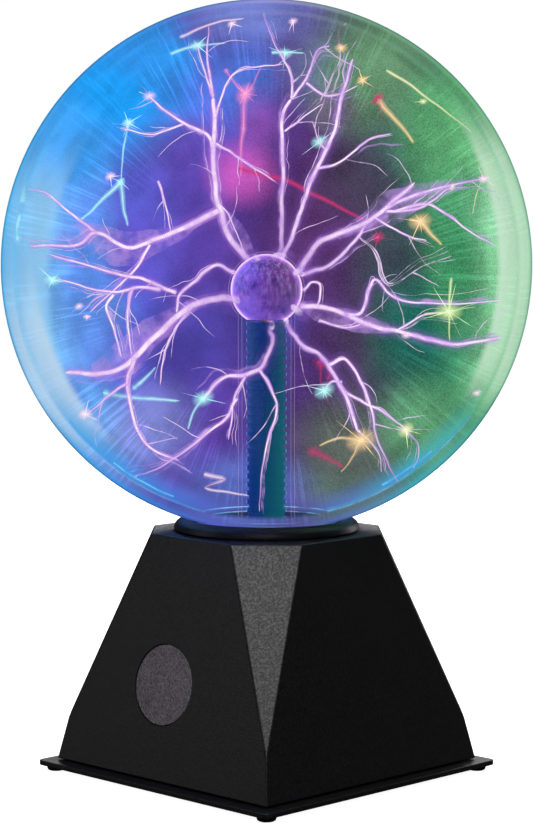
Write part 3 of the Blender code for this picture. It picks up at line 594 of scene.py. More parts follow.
def glass_finish(name, gas_group, tint, rim_low, rim_high, rim_share, pink_rim_glow):
    """Clear glass with a mirror shine; its outline is painted glow in the colour of the gas behind
    it, with a darker line of painted shade and a share of painted pink glow.
    """
    made, tree, out = bare_material(name)
    field = use_group(tree, gas_group)
    facing = facing_of(tree)
    # Painted shade: a darker line in the outline's colour, where the facing is 0.86 to 0.93
    line = between(tree, facing, 0.86, 0.93)
    painted_dark_outline = blend_colours(tree, 1.0, field["Colour"], (0.55, 0.62, 0.68, 1.0), "MULTIPLY")
    colour = blend_colours(tree, line, field["Colour"], painted_dark_outline)
    # Painted pink glow on the outline, in the given share
    colour = blend_colours(tree, pink_rim_glow, colour, tone(0.98, 0.84, 0.98))
    # The outline shows this painted glow in place of clear glass
    edge = between(tree, facing, rim_low, rim_high, 0.0, rim_share)
    edged = mix_shaders(tree, edge, shader_of(tree, "BsdfTransparent", Color=tint),
                        shader_of(tree, "Emission", Color=colour))
    inner = tree.nodes.new("ShaderNodeNewGeometry").outputs["Backfacing"]
    mirror = maths(tree, "MULTIPLY_ADD", maths(tree, "POWER", facing, 4.0), 0.16, 0.025)
    mirror = maths(tree, "MULTIPLY", mirror, maths(tree, "SUBTRACT", 1.0, inner))
    whole = mix_shaders(tree, mirror, edged, shader_of(tree, "BsdfGlossy", Roughness=0.06))
    path = tree.nodes.new("ShaderNodeLightPath")
    lit = mix_shaders(tree, path.outputs["Is Shadow Ray"], whole,
                      shader_of(tree, "BsdfTransparent"))
    tree.links.new(lit, out.inputs["Surface"])
    made.cycles.emission_sampling = "NONE"
    return made


def plastic_finish(name, colour, roughness, fineness=1700.0, grain=0.4, specular=0.4):
    """Moulded plastic with a fine grain and a slow change in its shine."""
    made, tree, shader = new_material(name, tone(*colour), roughness, specular=specular)
    marks = use_group(tree, GRAIN_GROUP, Fineness=fineness)
    sparkle = between(tree, marks["Height"], 0.34, 0.70, 0.35, 1.9, soft=False)
    slow = between(tree, marks["Mottle"], 0.3, 0.7, 0.9, 1.1)
    level = grey_of(tree, maths(tree, "MULTIPLY", sparkle, slow))
    tree.links.new(blend_colours(tree, 1.0, tone(*colour), level, "MULTIPLY"),
                   shader.inputs["Base Color"])
    tree.links.new(between(tree, marks["Height"], 0.3, 0.7, roughness - 0.06, roughness + 0.10),
                   shader.inputs["Roughness"])
    add_bump(tree, shader, marks["Height"], grain, 0.12 * MM)
    return made


def metal_finish(name, colour, roughness, fineness=900.0):
    made, tree, shader = new_material(name, tone(*colour), roughness, metallic=1.0)
    marks = use_group(tree, GRAIN_GROUP, Fineness=fineness)
    dull = tone(*(c * 0.72 for c in colour))
    tree.links.new(blend_colours(tree, marks["Mottle"], dull, tone(*colour)),
                   shader.inputs["Base Color"])
    tree.links.new(between(tree, marks["Height"], 0.3, 0.7, roughness - 0.08, roughness + 0.12),
                   shader.inputs["Roughness"])
    add_bump(tree, shader, marks["Height"], 0.1, 0.05 * MM)
    return made


def sleeve_finish(axes_group):
    """The ridged sleeve in the stem, with a painted glow that is dark blue on one side and teal on
    the other, and painted highlights on its ridge crests.
    """
    made, tree, shader = new_material("ridged_sleeve", tone(0.0, 0.12, 0.30), 0.25)
    axes = use_group(tree, axes_group)
    # Painted light: the sleeve's glow is dark blue on the left and teal on the right, most teal low
    # on the right
    side = between(tree, axes["Across"], -0.07, 0.08)
    low = between(tree, axes["Up"], -0.25, -0.8)
    colour = blend_colours(tree, side, tone(0.0, 0.13, 0.41), tone(0.0, 0.21, 0.37))
    colour = blend_colours(tree, maths(tree, "MULTIPLY", side, low), colour,
                           tone(0.0, 0.36, 0.35))
    lines = noise_of(tree, vector_maths(tree, "MULTIPLY", object_place(tree), (1.0, 1.0, 0.02)),
                     900.0)
    streaked = between(tree, lines, 0.35, 0.65, 0.0, 0.3)
    colour = blend_colours(tree, streaked, colour, tone(0.03, 0.24, 0.50))
    parts = tree.nodes.new("ShaderNodeSeparateXYZ")
    tree.links.new(object_place(tree), parts.inputs[0])
    turn = maths(tree, "MULTIPLY_ADD", parts.outputs["Z"], -1.0 / RIDGE_PITCH,
                 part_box("contact_sleeve")[1].z / RIDGE_PITCH)
    # Painted highlights: pale marks on the ridge crests near the sleeve's outline
    crest = between(tree, maths(tree, "FRACT", turn), 0.44, 0.36)
    crest_highlight = maths(tree, "MULTIPLY", crest, between(tree, facing_of(tree), 0.76, 0.92))
    colour = blend_colours(tree, crest_highlight, colour, tone(0.56, 0.74, 0.94))
    tree.links.new(colour, shader.inputs["Emission Color"])
    shader.inputs["Emission Strength"].default_value = 0.95
    shader.inputs["Base Color"].default_value = tone(0.0, 0.05, 0.12)
    made.cycles.emission_sampling = "NONE"
    return made


def electrode_finish(axes_group):
    """The mottled metal coat of the electrode, lit violet from all round; that light is painted as
    glow in its colour, with a painted pale glow at its outline.
    """
    made, tree, shader = new_material("electrode_coat", tone(0.30, 0.22, 0.5), 0.35,
                                      metallic=0.6)
    axes = use_group(tree, axes_group)
    place = object_place(tree)
    # Painted light: the glow is lighter violet on the left, darker on the right, and maroon at the
    # upper right
    side = between(tree, axes["Across"], -0.12, 0.14)
    rise = between(tree, axes["Up"], -0.20, 0.02)
    colour = blend_colours(tree, side, tone(0.46, 0.31, 0.67), tone(0.34, 0.18, 0.46))
    colour = blend_colours(tree, maths(tree, "MULTIPLY", side, rise), colour,
                           tone(0.34, 0.14, 0.36))
    clots = noise_of(tree, place, 300.0, detail=4.0, roughness=0.7)
    colour = blend_colours(tree, between(tree, clots, 0.46, 0.72, 0.0, 0.75), colour,
                           tone(0.15, 0.10, 0.36))
    # Pale lilac flecks, more of them towards the top
    pale_flecks = noise_of(tree, vector_maths(tree, "MULTIPLY", place, (1.0, 1.0, 0.35)), 900.0,
                    detail=4.0, roughness=0.75)
    fleck_share = maths(tree, "MULTIPLY", between(tree, pale_flecks, 0.42, 0.66),
                  between(tree, axes["Up"], -0.16, 0.02, 0.08, 0.42))
    colour = blend_colours(tree, fleck_share, colour, tone(0.72, 0.58, 0.82))
    # Painted glow at the outline: violet, then pale pink-white at the very edge
    facing = facing_of(tree)
    colour = blend_colours(tree, between(tree, facing, 0.40, 0.70, 0.0, 0.5), colour,
                           tone(0.72, 0.46, 0.86))
    colour = blend_colours(tree, between(tree, facing, 0.60, 0.84), colour,
                           tone(1.0, 0.82, 0.94))
    tree.links.new(colour, shader.inputs["Emission Color"])
    tree.links.new(colour, shader.inputs["Base Color"])
    shader.inputs["Emission Strength"].default_value = 1.05
    made.cycles.emission_sampling = "NONE"
    return made


# ---------------------------------------------------------------- glass and what it holds

def build_globe(glass, gas):
    """The glass globe with its neck, and the glowing gas just inside it."""
    shoulder = math.pi - math.asin(SHOULDER_RADIUS / GLOBE_RADIUS)
    inner_radius = GLOBE_RADIUS - GLASS_WALL
    inner_shoulder = math.pi - math.asin(SHOULDER_BORE / inner_radius)
    bore = NECK_RADIUS - GLASS_WALL
    profile = arc(GLOBE_RADIUS, CENTRE.z, 0.0, shoulder, 72)[:-1]
    profile += eased_profile([(SHOULDER_RADIUS, BASE_TOP + 2.54 * MM),
                              (16.4 * MM, BASE_TOP + 1.4 * MM), (15.3 * MM, BASE_TOP - 0.3 * MM),
                              (NECK_RADIUS, BASE_TOP - 2.5 * MM), (NECK_RADIUS, GLOBE_LOW.z)], 4)
    profile += eased_profile([(bore, GLOBE_LOW.z), (bore, BASE_TOP - 2.0 * MM),
                              (bore + 0.6 * MM, BASE_TOP + 0.6 * MM),
                              (SHOULDER_BORE, CENTRE.z + inner_radius * math.cos(inner_shoulder))],
                             4)[:-1]
    profile += arc(inner_radius, CENTRE.z, inner_shoulder, 0.0, 72)
    globe = add_piece("globe_glass", turned(closed_on_axis(profile), 144), glass,
                      smooth=60.0)
    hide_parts("glass_globe")
    floor = math.pi - math.asin(14.0 * MM / GAS_RADIUS)
    body = arc(GAS_RADIUS, CENTRE.z, 0.0, floor, 72)
    body.append((0.0, body[-1][1]))
    add_piece("glowing_gas", turned(closed_on_axis(body), 144), gas)


def build_stem(glass, coat, sleeve):
    """The re-entrant glass tube with its bulb, the electrode and the ridged sleeve."""
    bore = STEM_RADIUS - STEM_WALL
    inner = BULB_RADIUS - BULB_WALL
    profile = arc(BULB_RADIUS, BULB.z, 0.0, math.pi - math.asin(STEM_RADIUS / BULB_RADIUS), 32)
    profile += eased_profile([(STEM_RADIUS, BULB.z - 7.3 * MM), (STEM_RADIUS, 66.0 * MM),
                              (7.6 * MM, 62.0 * MM), (9.5 * MM, 57.0 * MM),
                              (11.8 * MM, 52.5 * MM), (13.0 * MM, STEM_LOW.z)], 5)
    profile += eased_profile([(12.1 * MM, STEM_LOW.z), (10.9 * MM, 53.0 * MM),
                              (8.6 * MM, 57.2 * MM), (6.7 * MM, 62.0 * MM), (bore, 66.0 * MM),
                              (bore, BULB.z - 6.9 * MM)], 5)
    profile += arc(inner, BULB.z, math.pi - math.asin(bore / inner), 0.0, 32)
    stem = add_piece("stem_glass", turned(closed_on_axis(profile), 96), glass,
                     smooth=60.0)
    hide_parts("glass_stem")
    ball = inner - COAT_GAP
    mouth = math.pi - math.asin(COAT_MOUTH / ball)
    shell = arc(ball, BULB.z, 0.0, mouth, 32) + arc(ball - COAT_WALL, BULB.z, mouth, 0.0, 24)
    electrode = add_piece("electrode", turned(closed_on_axis(shell), 96), coat)
    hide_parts("electrode_shell")
    build_sleeve(sleeve)


def build_sleeve(finish):
    """The sleeve in the stem, with a ridge at each pitch."""
    low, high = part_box("contact_sleeve")
    depth, radius, bore = 0.5 * MM, 4.9 * MM, 2.3 * MM
    ridges = []
    height = high.z
    while height - RIDGE_PITCH > low.z:
        ridges += [(radius, height), (radius, height - RIDGE_PITCH * 0.42),
                   (radius - depth, height - RIDGE_PITCH * 0.5),
                   (radius - depth, height - RIDGE_PITCH * 0.92)]
        height -= RIDGE_PITCH
    ridges += [(radius, low.z), (bore, low.z), (bore, high.z)]
    ridged = add_piece("ridged_sleeve", turned(ridges, 64), finish)
    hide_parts("contact_sleeve")


# ---------------------------------------------------------------- streamers

def seen(across, up, depth=0.0):
    """A place in the globe, given in globe radii as it looks from the camera's corner."""
    spread = 1.0 + depth / EYE_DISTANCE
    rise = EYE_RISE + (up - EYE_RISE) * spread
    return CENTRE + GLOBE_RADIUS * (across * spread * RIGHT + rise * UP + depth * AWAY)


def depth_at(across, up, side):
    """How far behind the globe's middle a streamer runs: none at the heart, all at the glass."""
    reach = math.hypot(across - HEART[0], up - HEART[1])
    room = math.sqrt(max(0.0, TOUCH ** 2 - across ** 2 - up ** 2))
    share = min(1.0, max(0.0, (reach - HEART_REACH) / 0.5))
    return side * room * share ** 0.75


def wander(place, amount=1.0):
    """Bend a place a little, alike for every streamer that passes through it."""
    slow = noise.noise_vector(place / (8.0 * MM)) * 0.9 * MM
    quick = noise.noise_vector(place / (2.6 * MM)) * 0.30 * MM
    return place + (slow + quick) * amount


def strand(points, side, thick, thin, per_span=9, bent=0.55):
    """A streamer through (across, up) points: its places, and its radius at each."""
    route = eased([(*point, 0.0) for point in points], per_span)
    places = [wander(seen(p.x, p.y, depth_at(p.x, p.y, side)), bent) for p in route]
    last = len(places) - 1
    radii = [thick + (thin - thick) * step / last for step in range(last + 1)]
    radii[-1] = 0.03
    return places, radii


def twigs(points, side, count, chance):
    """Short fine side streamers that leave a streamer at an angle."""
    route = eased([(*point, 0.0) for point in points], 9)
    made = []
    for _ in range(count):
        spot = chance.randrange(len(route) // 5, len(route) - 1)
        way = route[spot + 1] - route[spot]
        if way.length < 0.0001:
            continue
        turn = chance.choice((-1.0, 1.0)) * chance.uniform(0.4, 1.1)
        bend = chance.uniform(-0.5, 0.5)
        step = chance.uniform(0.02, 0.055)
        heading = math.atan2(way.y, way.x) + turn
        points_made = [route[spot]]
        for _ in range(4):
            points_made.append(points_made[-1] + step * Vector((math.cos(heading),
                                                                math.sin(heading), 0.0)))
            heading += bend * 0.4 + chance.uniform(-0.3, 0.3)
        if all(p.length < TOUCH for p in points_made):
            made.append(strand([(p.x, p.y) for p in points_made], side,
                               chance.uniform(0.14, 0.22), 0.07, per_span=4))
    return made


def glow_lines(name, strands, finish, widen=1.0):
    """Round tapered lines of light, as one mesh."""
    curve = bpy.data.curves.new(name, "CURVE")
    curve.dimensions = "3D"
    curve.bevel_depth = MM
    curve.bevel_resolution = 2
    curve.use_fill_caps = True
    for places, radii in strands:
        spline = curve.splines.new("POLY")
        spline.points.add(len(places) - 1)
        for point, place, radius in zip(spline.points, places, radii):
            point.co = (*place, 1.0)
            point.radius = radius * widen
    source = bpy.data.objects.new(name + "_route", curve)
    bpy.context.scene.collection.objects.link(source)
    bpy.context.view_layer.update()
    evaluated = source.evaluated_get(bpy.context.evaluated_depsgraph_get())
    mesh = bpy.data.meshes.new_from_object(evaluated)
    bpy.data.objects.remove(source)
    shape = bmesh.new()
    shape.from_mesh(mesh)
    bmesh.ops.remove_doubles(shape, verts=shape.verts, dist=0.0000005)
    bmesh.ops.recalc_face_normals(shape, faces=shape.faces)
    return add_piece(name, shape, finish, smooth=180.0)


def puffs(name, spots, finish):
    """Soft round or stretched glows: (across, up, depth, wide, tall, turn)."""
    shape = bmesh.new()
    for across, up, depth, wide, tall, turn in spots:
        along = math.cos(turn) * RIGHT + math.sin(turn) * UP
        over = -math.sin(turn) * RIGHT + math.cos(turn) * UP
        frame_of = Matrix((along * wide, over * tall, -AWAY * min(wide, tall))).transposed()
        spot = Matrix.Translation(seen(across, up, depth)) @ (frame_of * GLOBE_RADIUS).to_4x4()
        bmesh.ops.create_icosphere(shape, subdivisions=3, radius=1.0, matrix=spot)
    bmesh.ops.recalc_face_normals(shape, faces=shape.faces)
    return add_piece(name, shape, finish, smooth=180.0)


def film(name, points, side, finish):
    """A thin veil of glow along a route: (across, up, half width) points."""
    route = eased(points, 8)
    shape = bmesh.new()
    rails = []
    for sign in (-1.0, 1.0):
        rail = []
        for index, point in enumerate(route):
            ahead = route[min(index + 1, len(route) - 1)] - route[max(index - 1, 0)]
            across_way = Vector((-ahead.y, ahead.x)).normalized() * sign * point.z
            x, y = point.x + across_way.x, point.y + across_way.y
            rail.append(shape.verts.new(wander(seen(x, y, depth_at(x, y, side)))))
        rails += [shape.edges.new(pair) for pair in zip(rail, rail[1:])]
    bmesh.ops.bridge_loops(shape, edges=rails)
    bmesh.ops.subdivide_edges(shape, edges=shape.edges, cuts=1, use_grid_fill=True)
    bmesh.ops.recalc_face_normals(shape, faces=shape.faces)
    bmesh.ops.solidify(shape, geom=shape.faces[:], thickness=0.15 * MM)
    return add_piece(name, shape, finish, smooth=180.0)


# The share of the thicknesses below that each streamer is given
SLIM = 0.68

# Streamer trees: name, side (behind +, before -), then (thick, thin, twigs, (across, up) points)
TREES = (
    ("upper_left", 0.55, (
        (1.45, 0.80, 4, ((-0.05, 0.00), (-0.07, 0.03), (-0.14, 0.11), (-0.17, 0.21),
                         (-0.19, 0.27), (-0.20, 0.44), (-0.19, 0.55), (-0.20, 0.64))),
        (0.60, 0.25, 3, ((-0.20, 0.64), (-0.22, 0.76), (-0.22, 0.90))),
        (0.50, 0.20, 2, ((-0.20, 0.64), (-0.23, 0.72), (-0.26, 0.83))),
        (0.42, 0.18, 2, ((-0.19, 0.55), (-0.15, 0.69), (-0.08, 0.74), (0.06, 0.76))),
        (0.80, 0.35, 4, ((-0.20, 0.44), (-0.22, 0.50), (-0.31, 0.54), (-0.36, 0.57),
                         (-0.44, 0.64))),
        (0.42, 0.20, 2, ((-0.31, 0.54), (-0.42, 0.50), (-0.55, 0.52))),
        (0.46, 0.18, 3, ((-0.19, 0.47), (-0.08, 0.39), (0.03, 0.32))),
        (0.32, 0.15, 0, ((-0.19, 0.46), (-0.17, 0.49), (-0.16, 0.58))),
        (0.40, 0.20, 0, ((-0.18, 0.24), (-0.14, 0.19), (-0.11, 0.12), (-0.08, 0.05))),
    )),
    ("upper_middle", 0.80, (
        (1.05, 0.65, 3, ((0.03, 0.02), (0.05, 0.06), (0.06, 0.19), (0.06, 0.44), (0.06, 0.57),
                         (0.09, 0.63))),
        (0.52, 0.20, 3, ((0.09, 0.63), (0.09, 0.72), (0.03, 0.83), (-0.01, 0.945))),
        (0.60, 0.22, 3, ((0.09, 0.63), (0.15, 0.71), (0.19, 0.81), (0.24, 0.83))),
        (0.42, 0.18, 2, ((0.07, 0.51), (0.13, 0.56), (0.21, 0.61))),
        (0.50, 0.20, 2, ((0.15, 0.69), (0.23, 0.64), (0.35, 0.68))),
        (0.36, 0.16, 1, ((0.20, 0.62), (0.27, 0.76), (0.28, 0.82))),
    )),
    ("upper_right", -0.50, (
        (0.95, 0.45, 4, ((0.06, 0.03), (0.09, 0.10), (0.17, 0.32), (0.25, 0.49), (0.29, 0.66),
                         (0.33, 0.78))),
        (0.50, 0.20, 2, ((0.19, 0.37), (0.27, 0.39), (0.39, 0.48), (0.47, 0.50))),
        (0.36, 0.16, 1, ((0.23, 0.44), (0.20, 0.47), (0.17, 0.55))),
    )),
    ("right_ribbon", -0.60, (
        (1.30, 0.60, 3, ((0.12, -0.02), (0.20, 0.09), (0.36, 0.16), (0.45, 0.22),
                         (0.56, 0.32))),
        (0.90, 0.40, 2, ((0.13, -0.03), (0.24, 0.01), (0.34, 0.11), (0.38, 0.17))),
        (0.70, 0.28, 3, ((0.45, 0.22), (0.56, 0.27), (0.72, 0.31), (0.82, 0.33))),
        (0.55, 0.22, 2, ((0.45, 0.21), (0.58, 0.22), (0.70, 0.30))),
        (0.50, 0.20, 3, ((0.48, 0.21), (0.62, 0.23), (0.77, 0.13), (0.86, 0.08))),
        (0.42, 0.16, 2, ((0.40, 0.19), (0.52, 0.12), (0.60, 0.10))),
        (0.36, 0.15, 2, ((0.34, 0.12), (0.42, 0.06), (0.47, -0.06), (0.60, 0.00),
                         (0.70, 0.04))),
    )),
    ("right", -0.35, (
        (1.15, 0.55, 4, ((0.13, -0.15), (0.20, -0.15), (0.30, -0.18), (0.43, -0.23),
                         (0.49, -0.24), (0.70, -0.29), (0.89, -0.27))),
        (0.55, 0.30, 0, ((0.14, -0.09), (0.17, -0.06), (0.20, -0.07), (0.20, -0.12),
                         (0.19, -0.15))),
        (0.70, 0.25, 3, ((0.30, -0.18), (0.36, -0.17), (0.39, -0.08), (0.42, -0.05),
                         (0.49, -0.12), (0.66, -0.14), (0.89, -0.13))),
        (0.45, 0.20, 1, ((0.20, -0.20), (0.29, -0.23), (0.38, -0.21), (0.43, -0.23))),
        (0.40, 0.18, 2, ((0.49, -0.24), (0.58, -0.19), (0.69, -0.17))),
    )),
    ("lower_right", -0.72, (
        (1.00, 0.50, 3, ((0.07, -0.20), (0.12, -0.28), (0.22, -0.35), (0.30, -0.49),
                         (0.35, -0.63))),
        (0.46, 0.20, 1, ((0.29, -0.44), (0.25, -0.44), (0.22, -0.47))),
        (0.72, 0.25, 3, ((0.24, -0.37), (0.31, -0.36), (0.38, -0.49), (0.43, -0.68),
                         (0.50, -0.82))),
        (0.50, 0.20, 3, ((0.30, -0.48), (0.45, -0.56), (0.53, -0.62), (0.58, -0.68),
                         (0.56, -0.77))),
        (0.40, 0.18, 1, ((0.35, -0.62), (0.42, -0.70), (0.44, -0.78))),
    )),
    ("down", -0.80, (
        (1.05, 0.60, 1, ((0.01, -0.20), (0.015, -0.24), (0.02, -0.30), (-0.02, -0.38),
                         (-0.08, -0.41), (-0.16, -0.42), (-0.24, -0.50))),
        (0.50, 0.20, 2, ((-0.08, -0.41), (-0.12, -0.50), (-0.14, -0.66))),
        (0.56, 0.20, 2, ((-0.03, -0.39), (0.02, -0.47), (0.04, -0.54), (-0.01, -0.72),
                         (-0.03, -0.93))),
        (0.60, 0.22, 3, ((-0.11, -0.50), (-0.18, -0.60), (-0.40, -0.76), (-0.50, -0.80))),
    )),
    ("left", -0.60, (
        (1.55, 0.85, 3, ((-0.10, -0.12), (-0.18, -0.12), (-0.29, -0.15), (-0.40, -0.24),
                         (-0.50, -0.34), (-0.60, -0.40), (-0.76, -0.40))),
        (0.80, 0.30, 4, ((-0.50, -0.34), (-0.53, -0.45), (-0.47, -0.66), (-0.33, -0.74))),
        (0.55, 0.20, 1, ((-0.53, -0.44), (-0.61, -0.50), (-0.69, -0.56))),
        (0.80, 0.40, 1, ((-0.12, -0.02), (-0.20, 0.00), (-0.29, -0.07), (-0.33, -0.11),
                         (-0.34, -0.17))),
        (0.75, 0.30, 4, ((-0.34, -0.10), (-0.46, -0.05), (-0.57, -0.03), (-0.82, 0.05))),
        (0.70, 0.28, 2, ((-0.40, -0.08), (-0.48, -0.08), (-0.58, -0.10), (-0.79, -0.05))),
        (0.55, 0.22, 2, ((-0.58, -0.11), (-0.61, -0.16), (-0.58, -0.25), (-0.55, -0.34))),
        (0.50, 0.24, 2, ((-0.51, -0.09), (-0.53, -0.20), (-0.51, -0.34))),
        (0.40, 0.18, 2, ((-0.29, -0.15), (-0.38, -0.30), (-0.40, -0.45))),
    )),
    ("left_ribbon", 0.50, (
        (1.20, 0.45, 4, ((-0.18, 0.21), (-0.28, 0.16), (-0.40, 0.11), (-0.52, 0.07),
                         (-0.64, 0.13), (-0.72, 0.08), (-0.90, 0.08))),
        (0.55, 0.20, 3, ((-0.64, 0.13), (-0.74, 0.20), (-0.82, 0.27), (-0.90, 0.29))),
        (0.40, 0.20, 1, ((-0.41, 0.32), (-0.38, 0.23), (-0.36, 0.11))),
        (0.60, 0.22, 3, ((-0.44, 0.08), (-0.50, -0.02), (-0.58, -0.09), (-0.67, -0.17))),
    )),
)
# Bright spots where streamers leave the electrode: across, up, depth, wide, tall, turn
ROOTS = (
    (0.115, -0.165, -0.11, 0.030, 0.016, 2.4), (0.02, -0.222, -0.08, 0.012, 0.020, 0.0),
    (-0.105, -0.125, -0.07, 0.026, 0.016, 0.1), (-0.035, 0.03, -0.06, 0.020, 0.014, 2.3),
    (0.045, 0.042, -0.05, 0.030, 0.012, 0.1), (0.115, -0.02, -0.07, 0.018, 0.012, 0.7),
)
# Veils: name, side, then (across, up, half width) points
FILMS = (
    ("veil_left", 0.50, ((-0.24, 0.17, 0.01), (-0.40, 0.10, 0.045), (-0.54, 0.07, 0.07),
                         (-0.66, 0.12, 0.05), (-0.80, 0.12, 0.02))),
    ("veil_right", -0.60, ((0.26, 0.11, 0.01), (0.38, 0.17, 0.035), (0.47, 0.22, 0.06),
                           (0.58, 0.27, 0.05), (0.74, 0.31, 0.02))),
    ("veil_heart", 0.55, ((-0.17, 0.22, 0.005), (-0.12, 0.15, 0.028), (-0.07, 0.06, 0.03),
                          (-0.04, 0.02, 0.01))),
    ("veil_low_right", -0.35, ((0.15, -0.16, 0.01), (0.24, -0.19, 0.03), (0.34, -0.20, 0.04),
                               (0.46, -0.23, 0.02))),
    ("veil_low_left", -0.60, ((-0.30, -0.14, 0.01), (-0.42, -0.22, 0.04),
                              (-0.54, -0.34, 0.07), (-0.66, -0.40, 0.03))),
)


def build_streamers(core, fine, sheath, halo, veil):
    """Every tree of streamers, with a soft sheath round its thick ones."""
    chance = random.Random(11)
    for name, side, branches in TREES:
        strands, hairs, ribbons = [], [], []
        for thick, thin, count, points in branches:
            thick, thin = thick * SLIM, thin * SLIM
            target = strands if thick > 0.26 else hairs
            target.append(strand(points, side, thick, thin))
            hairs += twigs(points, side, (count + 1) // 2, chance)
            for echo in range(count + 1):
                shift = chance.uniform(-0.07, 0.07)
                drifts = [shift * (index / len(points)) ** 1.6 for index in range(len(points))]
                beside = [(x + drift, y - drift) for (x, y), drift in zip(points, drifts)]
                if not all(math.hypot(*point) < TOUCH for point in beside):
                    continue
                if echo % 2 and thick > 0.3:
                    ribbons.append(strand(beside, side, thick * 0.9, 0.25, bent=1.5))
                else:
                    hairs.append(strand(beside, side, 0.12, 0.06, bent=1.3))
        glow_lines("streamers_" + name, strands, core)
        glow_lines("threads_" + name, hairs, fine)
        glow_lines("ribbons_" + name, ribbons, veil)
        glow_lines("sheath_" + name, strands, sheath, widen=2.0)
        glow_lines("haze_" + name, [s for s in strands if s[1][0] > 0.4], halo, widen=5.0)
    puffs("streamer_roots", ROOTS, fine)
    puffs("root_glow", [(*spot[:3], spot[3] * 2.2, spot[4] * 2.2, spot[5]) for spot in ROOTS],
          halo)
    for name, side, points in FILMS:
        film(name, points, side, veil)


# Star glints: colour, across, up, side, size, rays, turn
STARS = (
    ("cyan", -0.26, 0.83, 0.9, 0.050, 4, 0.2), ("pink", -0.13, 0.91, 0.9, 0.030, 3, 0.5),
    ("pink", -0.44, 0.64, 0.9, 0.040, 4, 0.1), ("magenta", -0.08, 0.65, 0.8, 0.070, 5, 0.9),
    ("cyan", 0.20, 0.47, 0.8, 0.055, 5, 0.3), ("orange", 0.28, 0.82, 0.9, 0.040, 4, 0.0),
    ("orange", 0.58, 0.17, -0.6, 0.065, 5, 0.2), ("red", 0.42, 0.11, 0.9, 0.045, 4, 0.4),
    ("green", 0.69, -0.17, -0.4, 0.075, 5, 0.0), ("pink", 0.53, -0.26, -0.4, 0.030, 3, 0.2),
    ("orange", 0.36, -0.66, -0.9, 0.085, 6, 0.3), ("cyan", 0.22, -0.47, -0.8, 0.060, 5, 0.5),
    ("yellow", 0.53, -0.62, -0.8, 0.050, 4, 0.7), ("pink", 0.80, -0.48, 0.9, 0.030, 3, 0.1),
    ("cyan", -0.24, -0.50, -0.8, 0.060, 5, 0.4), ("pink", -0.69, -0.56, -0.8, 0.040, 4, 0.3),
    ("cyan", -0.81, -0.05, -0.7, 0.050, 4, 0.0), ("pink", -0.71, -0.15, 0.8, 0.030, 4, 0.4),
    ("pink", -0.68, -0.19, 0.8, 0.025, 3, 0.1), ("pink", -0.59, 0.34, 0.9, 0.035, 4, 0.6),
    ("cyan", -0.52, 0.54, 0.9, 0.040, 4, 0.2), ("cyan", -0.55, 0.32, 0.9, 0.030, 3, 0.5),
    ("cyan", 0.07, 0.80, 0.9, 0.045, 2, 0.0), ("pink", 0.10, 0.92, 0.9, 0.030, 4, 0.3),
    ("orange", 0.36, 0.70, 0.9, 0.035, 3, 0.5), ("red", 0.42, 0.63, 0.9, 0.045, 4, 0.9),
    ("yellow", 0.59, 0.62, 0.9, 0.025, 3, 0.2), ("pink", 0.82, 0.33, -0.7, 0.035, 4, 0.1),
    ("yellow", 0.70, 0.30, -0.6, 0.025, 3, 0.8),
)
